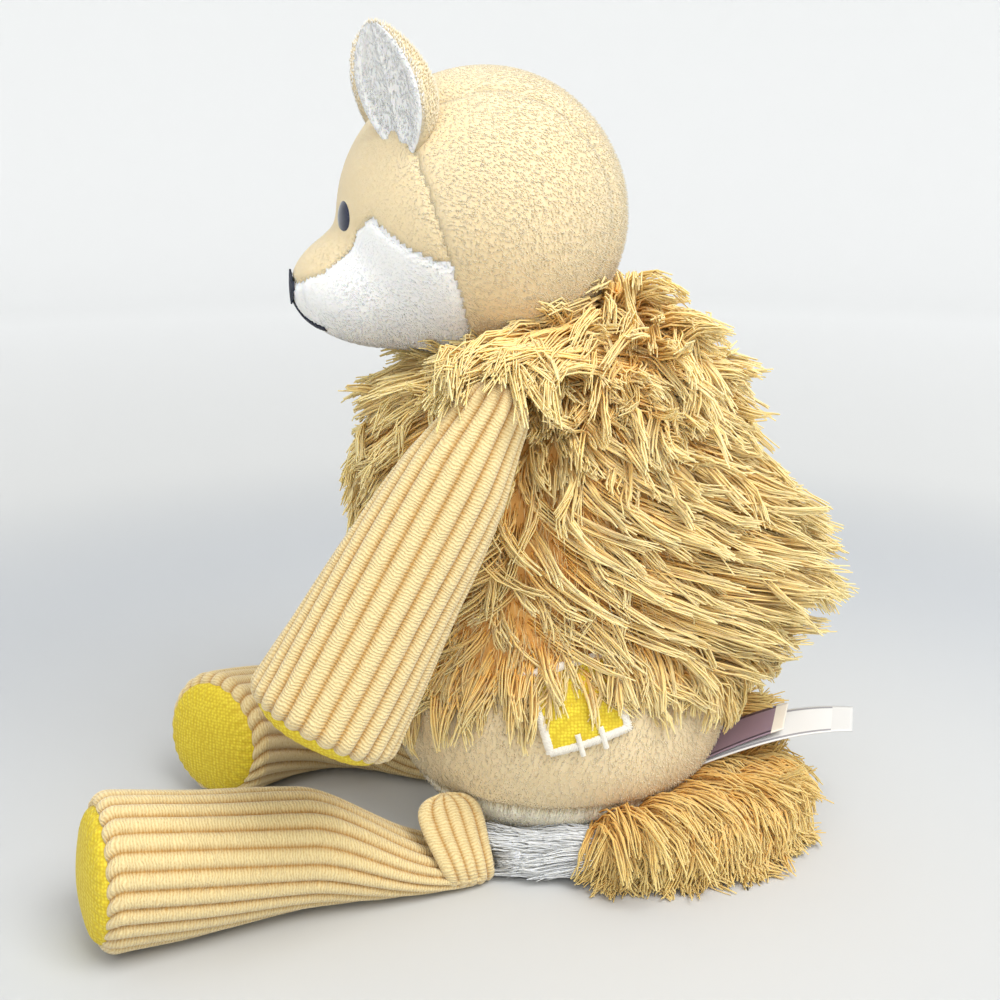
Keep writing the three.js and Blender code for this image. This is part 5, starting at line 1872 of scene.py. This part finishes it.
@dataclass
class Trim:
    """The hip patch and the two labels in the rear seam."""

    form: TrunkForm = field(default_factory=TrunkForm)
    patch_y: float = -3 * MM
    patch_z: float = 65 * MM
    patch_half: float = 13.2 * MM
    patch_turn: float = radians(16)
    patch_lift: float = 1.9 * MM
    patch_wall: float = 1.6 * MM
    edge_width: float = 2.6 * MM
    tack_lift: float = 2.5 * MM
    tack_width: float = 1.7 * MM
    tack_places: Place = mm(-3.2, 4.2)
    label_wall: float = 0.4 * MM
    label_root: Place = mm(18.5, 40, 25)

    def build(self, growths: Growths) -> None:
        """Makes the patch and the labels."""
        self.make_patch(growths)
        self.make_label("care_ribbon", "care_label", CARE_RIBBON, length=62 * MM, width=17 * MM, layer=0)
        self.make_label("side_ribbon", "side_label", SIDE_RIBBON, length=39 * MM, width=15 * MM, layer=1)

    def on_hip(self, across: Array, up: Array, lift: float) -> tuple[Array, Array]:
        """Places and outward directions on the left hip, from the patch's middle."""
        y = self.patch_y + across * cos(self.patch_turn) - up * sin(self.patch_turn)
        z = self.patch_z + across * sin(self.patch_turn) + up * cos(self.patch_turn)
        half_width, front, back = self.form.section(z)
        cosine = ((back - front) / 2 - y) / ((back + front) / 2)
        angle = np.arccos(np.clip(cosine, -1, 1))
        normal = normals(self.form.skin, angle, z, (0.01, 0.5 * MM))
        normal = normal * np.sign(normal[..., :1])
        return self.form.skin(angle, z) + normal * lift, normal

    def make_patch(self, growths: Growths) -> None:
        """A yellow dotted square with a satin-stitched edge and two cross-stitches."""
        count = 28
        span = np.linspace(-self.patch_half, self.patch_half, count)
        up, across = np.meshgrid(span, span, indexing="ij")
        top, normal = self.on_hip(across, up, 0.0)
        top = top + normal * (self.patch_lift + ripple(top, 5 * MM, 31)[..., None] * 0.15 * MM)
        skin = mesh_object("patch", top.reshape(-1, 3), grid_faces(count, count, False)[:, ::-1].tolist())
        if skin.data.polygons[0].normal.x < 0:
            skin.data.flip_normals()
        solidify(skin, self.patch_wall)
        dress(skin, SATIN, Body.TRUNK, "hip_patch")
        half = self.patch_half - 0.6 * MM
        corners = ((-half, -half), (half, -half), (half, half), (-half, half), (-half, -half))
        edge = (*self.on_hip(*even_steps(corners, 81), self.patch_lift), np.full(81, self.edge_width))
        growths.sew("patch_edge", edge, EDGE_STITCH, Body.TRUNK, "hip_patch_border", seed=80)
        for number, place in enumerate(self.tack_places):
            climb = np.linspace(-self.patch_half - 2.6 * MM, -self.patch_half + 4.2 * MM, 12)
            tack = (*self.on_hip(np.full(12, place), climb, self.tack_lift), np.full(12, self.tack_width))
            growths.sew(f"patch_tack_{number}", tack, TACK_STITCH, Body.TRUNK, seed=81 + number)

    def make_label(self, name: str, node: str, finish: Finish, length: float, width: float, layer: int) -> None:
        """A bare ribbon that rises out of the seam and ends in a slanting cut.

        Args:
            name: the object's name.
            node: the CAD node that it stands for.
            finish: its finish.
            length: from its root in the seam.
            width: across.
            layer: how many labels lie under it.
        """
        share = np.linspace(0, 1, 44)[:, None]
        across = np.linspace(-0.5, 0.5, 14)
        root_x, root_y, root_z = self.label_root
        x = root_x + across * width
        half_width, front, back = self.form.section(np.array(root_z + 2 * MM))
        start = (back - front) / 2 + (back + front) / 2 * np.sqrt(1 - (x / half_width) ** 2) - 2.5 * MM
        end = root_y + length * 1.08 - 7 * MM * (across + 0.5)
        y = start + (end - start) * share
        flat = np.clip((y - root_y) / (66 * MM), 0, 1)
        z = (root_z + 1.5 * MM + 11.5 * MM * np.sin(flat * 1.95) - across * 2 * MM
             + layer * (0.8 + 2.4 * share) * MM)
        skin = mesh_object(name, stacked(x, y, z).reshape(-1, 3), grid_faces(44, 14, False).tolist(),
                           uv=stacked(across + 0.5, share).reshape(-1, 2))
        if skin.data.polygons[0].normal.z < 0:
            skin.data.flip_normals()
        solidify(skin, self.label_wall)
        dress(skin, finish, Body.TRUNK, node)


@dataclass
class Studio:
    """A pale floor that runs up into a backdrop, soft lights and the camera."""

    camera_place: Place = mm(455.7, -84.2, 240.5)
    camera_forward: Place = (-0.9565, 0.1344, -0.2588)
    lens: float = 50.4
    sensor: float = 36.0
    aim: Place = (0, 0, 0.12)
    world_light: float = 0.88
    floor_radius: float = 1.6
    bend_radius: float = 0.6
    wall_top: float = 2.6

    def build(self) -> None:
        """Makes the camera, the sweep and the lights."""
        self.make_camera()
        self.make_sweep()
        self.make_lights()
        bpy.context.scene.view_settings.view_transform = "Standard"

    def make_camera(self) -> None:
        """The photograph's view."""
        data = bpy.data.cameras.new("camera")
        data.lens = self.lens
        data.sensor_width = self.sensor
        data.clip_start = 0.01
        camera = linked("camera", data)
        camera.location = self.camera_place
        camera.rotation_euler = Vector(self.camera_forward).to_track_quat("-Z", "Y").to_euler()
        bpy.context.scene.camera = camera

    def make_sweep(self) -> None:
        """A seamless paper sweep, wide enough for every view, with a ring of painted shade round the fox and painted
        light further out.
        """
        bend = np.linspace(0, pi / 2, 14)
        radius = np.concatenate([np.linspace(0.02, self.floor_radius, 24),
                                 self.floor_radius + self.bend_radius * np.sin(bend),
                                 np.full(8, self.floor_radius + self.bend_radius)])
        height = np.concatenate([np.zeros(24), self.bend_radius * (1 - np.cos(bend)),
                                 np.linspace(self.bend_radius, self.wall_top, 8)])
        angle = turns(96)
        points = stacked(radius[:, None] * np.cos(angle), radius[:, None] * np.sin(angle), height[:, None])
        points = np.concatenate([np.zeros((1, 3)), points.reshape(-1, 3)])
        faces = (grid_faces(len(radius), 96, True) + 1)[:, ::-1].tolist()
        faces += [[0, 1 + k, 1 + (k + 1) % 96] for k in range(96)]
        sweep = mesh_object("sweep", points, faces)
        material = bpy.data.materials.new("paper")
        material.use_nodes = True
        wiring = Wiring(material.node_tree)
        shader = material.node_tree.nodes["Principled BSDF"]
        shader.inputs["Roughness"].default_value = 0.8
        reach = wiring.vector("LENGTH", wiring.place()).of("Value")
        # A grey ring of painted shade round the fox, and paper painted lighter further out, where the lamps give less
        # light.
        near = (1 - abs(reach - 0.34) / 0.26).at_least(0.0)
        far_painted_light = ((reach - 0.4) / 1.0).at_least(0.0).at_most(1.0)
        paper = wiring.mix(far_painted_light, colour(200, 201, 200), colour(240, 241, 241))
        paper_painted_shade_and_light = wiring.mix(near * near * (3 - near * 2), paper, colour(184, 187, 190))
        material.node_tree.links.new(paper_painted_shade_and_light.socket, shader.inputs["Base Color"])
        sweep.data.materials.append(material)

    def make_lights(self) -> None:
        """A broad key by the camera, a fill from the front and a soft world."""
        world = bpy.data.worlds.new("world")
        bpy.context.scene.world = world
        world.use_nodes = True
        background = world.node_tree.nodes["Background"]
        background.inputs["Color"].default_value = (1, 1, 1, 1)
        background.inputs["Strength"].default_value = self.world_light
        for name, place, size, power in (
                ("key", (0.8, 0.5, 1.4), 1.0, 22.0),
                ("fill", (1.3, -0.5, 0.7), 1.0, 4.5)):
            data = bpy.data.lights.new(name, "AREA")
            data.size = size
            data.energy = power
            lamp = linked(name, data)
            lamp.location = place
            lamp.rotation_euler = (Vector(self.aim) - Vector(place)).to_track_quat("-Z", "Y").to_euler()


@dataclass
class Fox:
    """The whole toy."""

    hip: Place = mm(39.5, -41.5)
    shoulder: Place = mm(-33, 158)
    arm_top_x: float = 67 * MM
    arm_hem_x: float = 78.5 * MM
    arm_length: float = 99 * MM
    left_arm_forward: float = radians(31)
    right_arm_forward: float = radians(9)

    def arm(self, side: Side) -> Limb:
        """An arm that hangs forward of its shoulder."""
        forward = self.left_arm_forward if side is Side.LEFT else self.right_arm_forward
        y, z = self.shoulder
        top = np.array([side.value * self.arm_top_x, y, z])
        end = np.array([side.value * self.arm_hem_x, y - self.arm_length * sin(forward),
                        z - self.arm_length * cos(forward)])
        outward = 0.0 if side is Side.LEFT else pi
        return Limb("arm", side, Curve3(lambda t: top + (end - top) * t[:, None]), top_radius=14 * MM,
                    hem_radius=23.7 * MM, pad_radius=19.5 * MM, flatten=0.88, middle_angle=outward, gather=0.24)

    def leg(self, side: Side) -> Limb:
        """A leg that lies on the floor, bent at a soft knee."""
        top_radius, foot_radius = 15 * MM, 23.5 * MM
        knee, foot = {Side.LEFT: ((52, -100), (67, -151)), Side.RIGHT: ((-66, -88), (-27, -122))}[side]
        places = [np.array([x, y, radius + SEWN_GAP]) for (x, y), radius in (
            ((side.value * self.hip[0], self.hip[1]), top_radius),
            (mm(*knee), (top_radius + foot_radius) / 2), (mm(*foot), foot_radius))]
        return Limb("leg", side, Curve3(lambda t: bent(*places, t[:, None])), top_radius, foot_radius,
                    pad_radius=20 * MM, middle_angle=pi / 2, slack=0.68)

    def build(self) -> None:
        """Makes every sub-assembly in order."""
        growths = Growths()
        Trunk().build(growths)
        Trim().build(growths)
        Head().build(growths)
        for side in Side:
            Ear(side).build(growths)
            self.arm(side).build(growths)
            self.leg(side).build(growths)
        Tail().build(growths)


def main() -> None:
    """Builds the scene."""
    logging.basicConfig(level=logging.INFO, format="%(name)s: %(message)s")
    Studio().build()
    Fox().build()


if __name__ == "__main__":
    main()
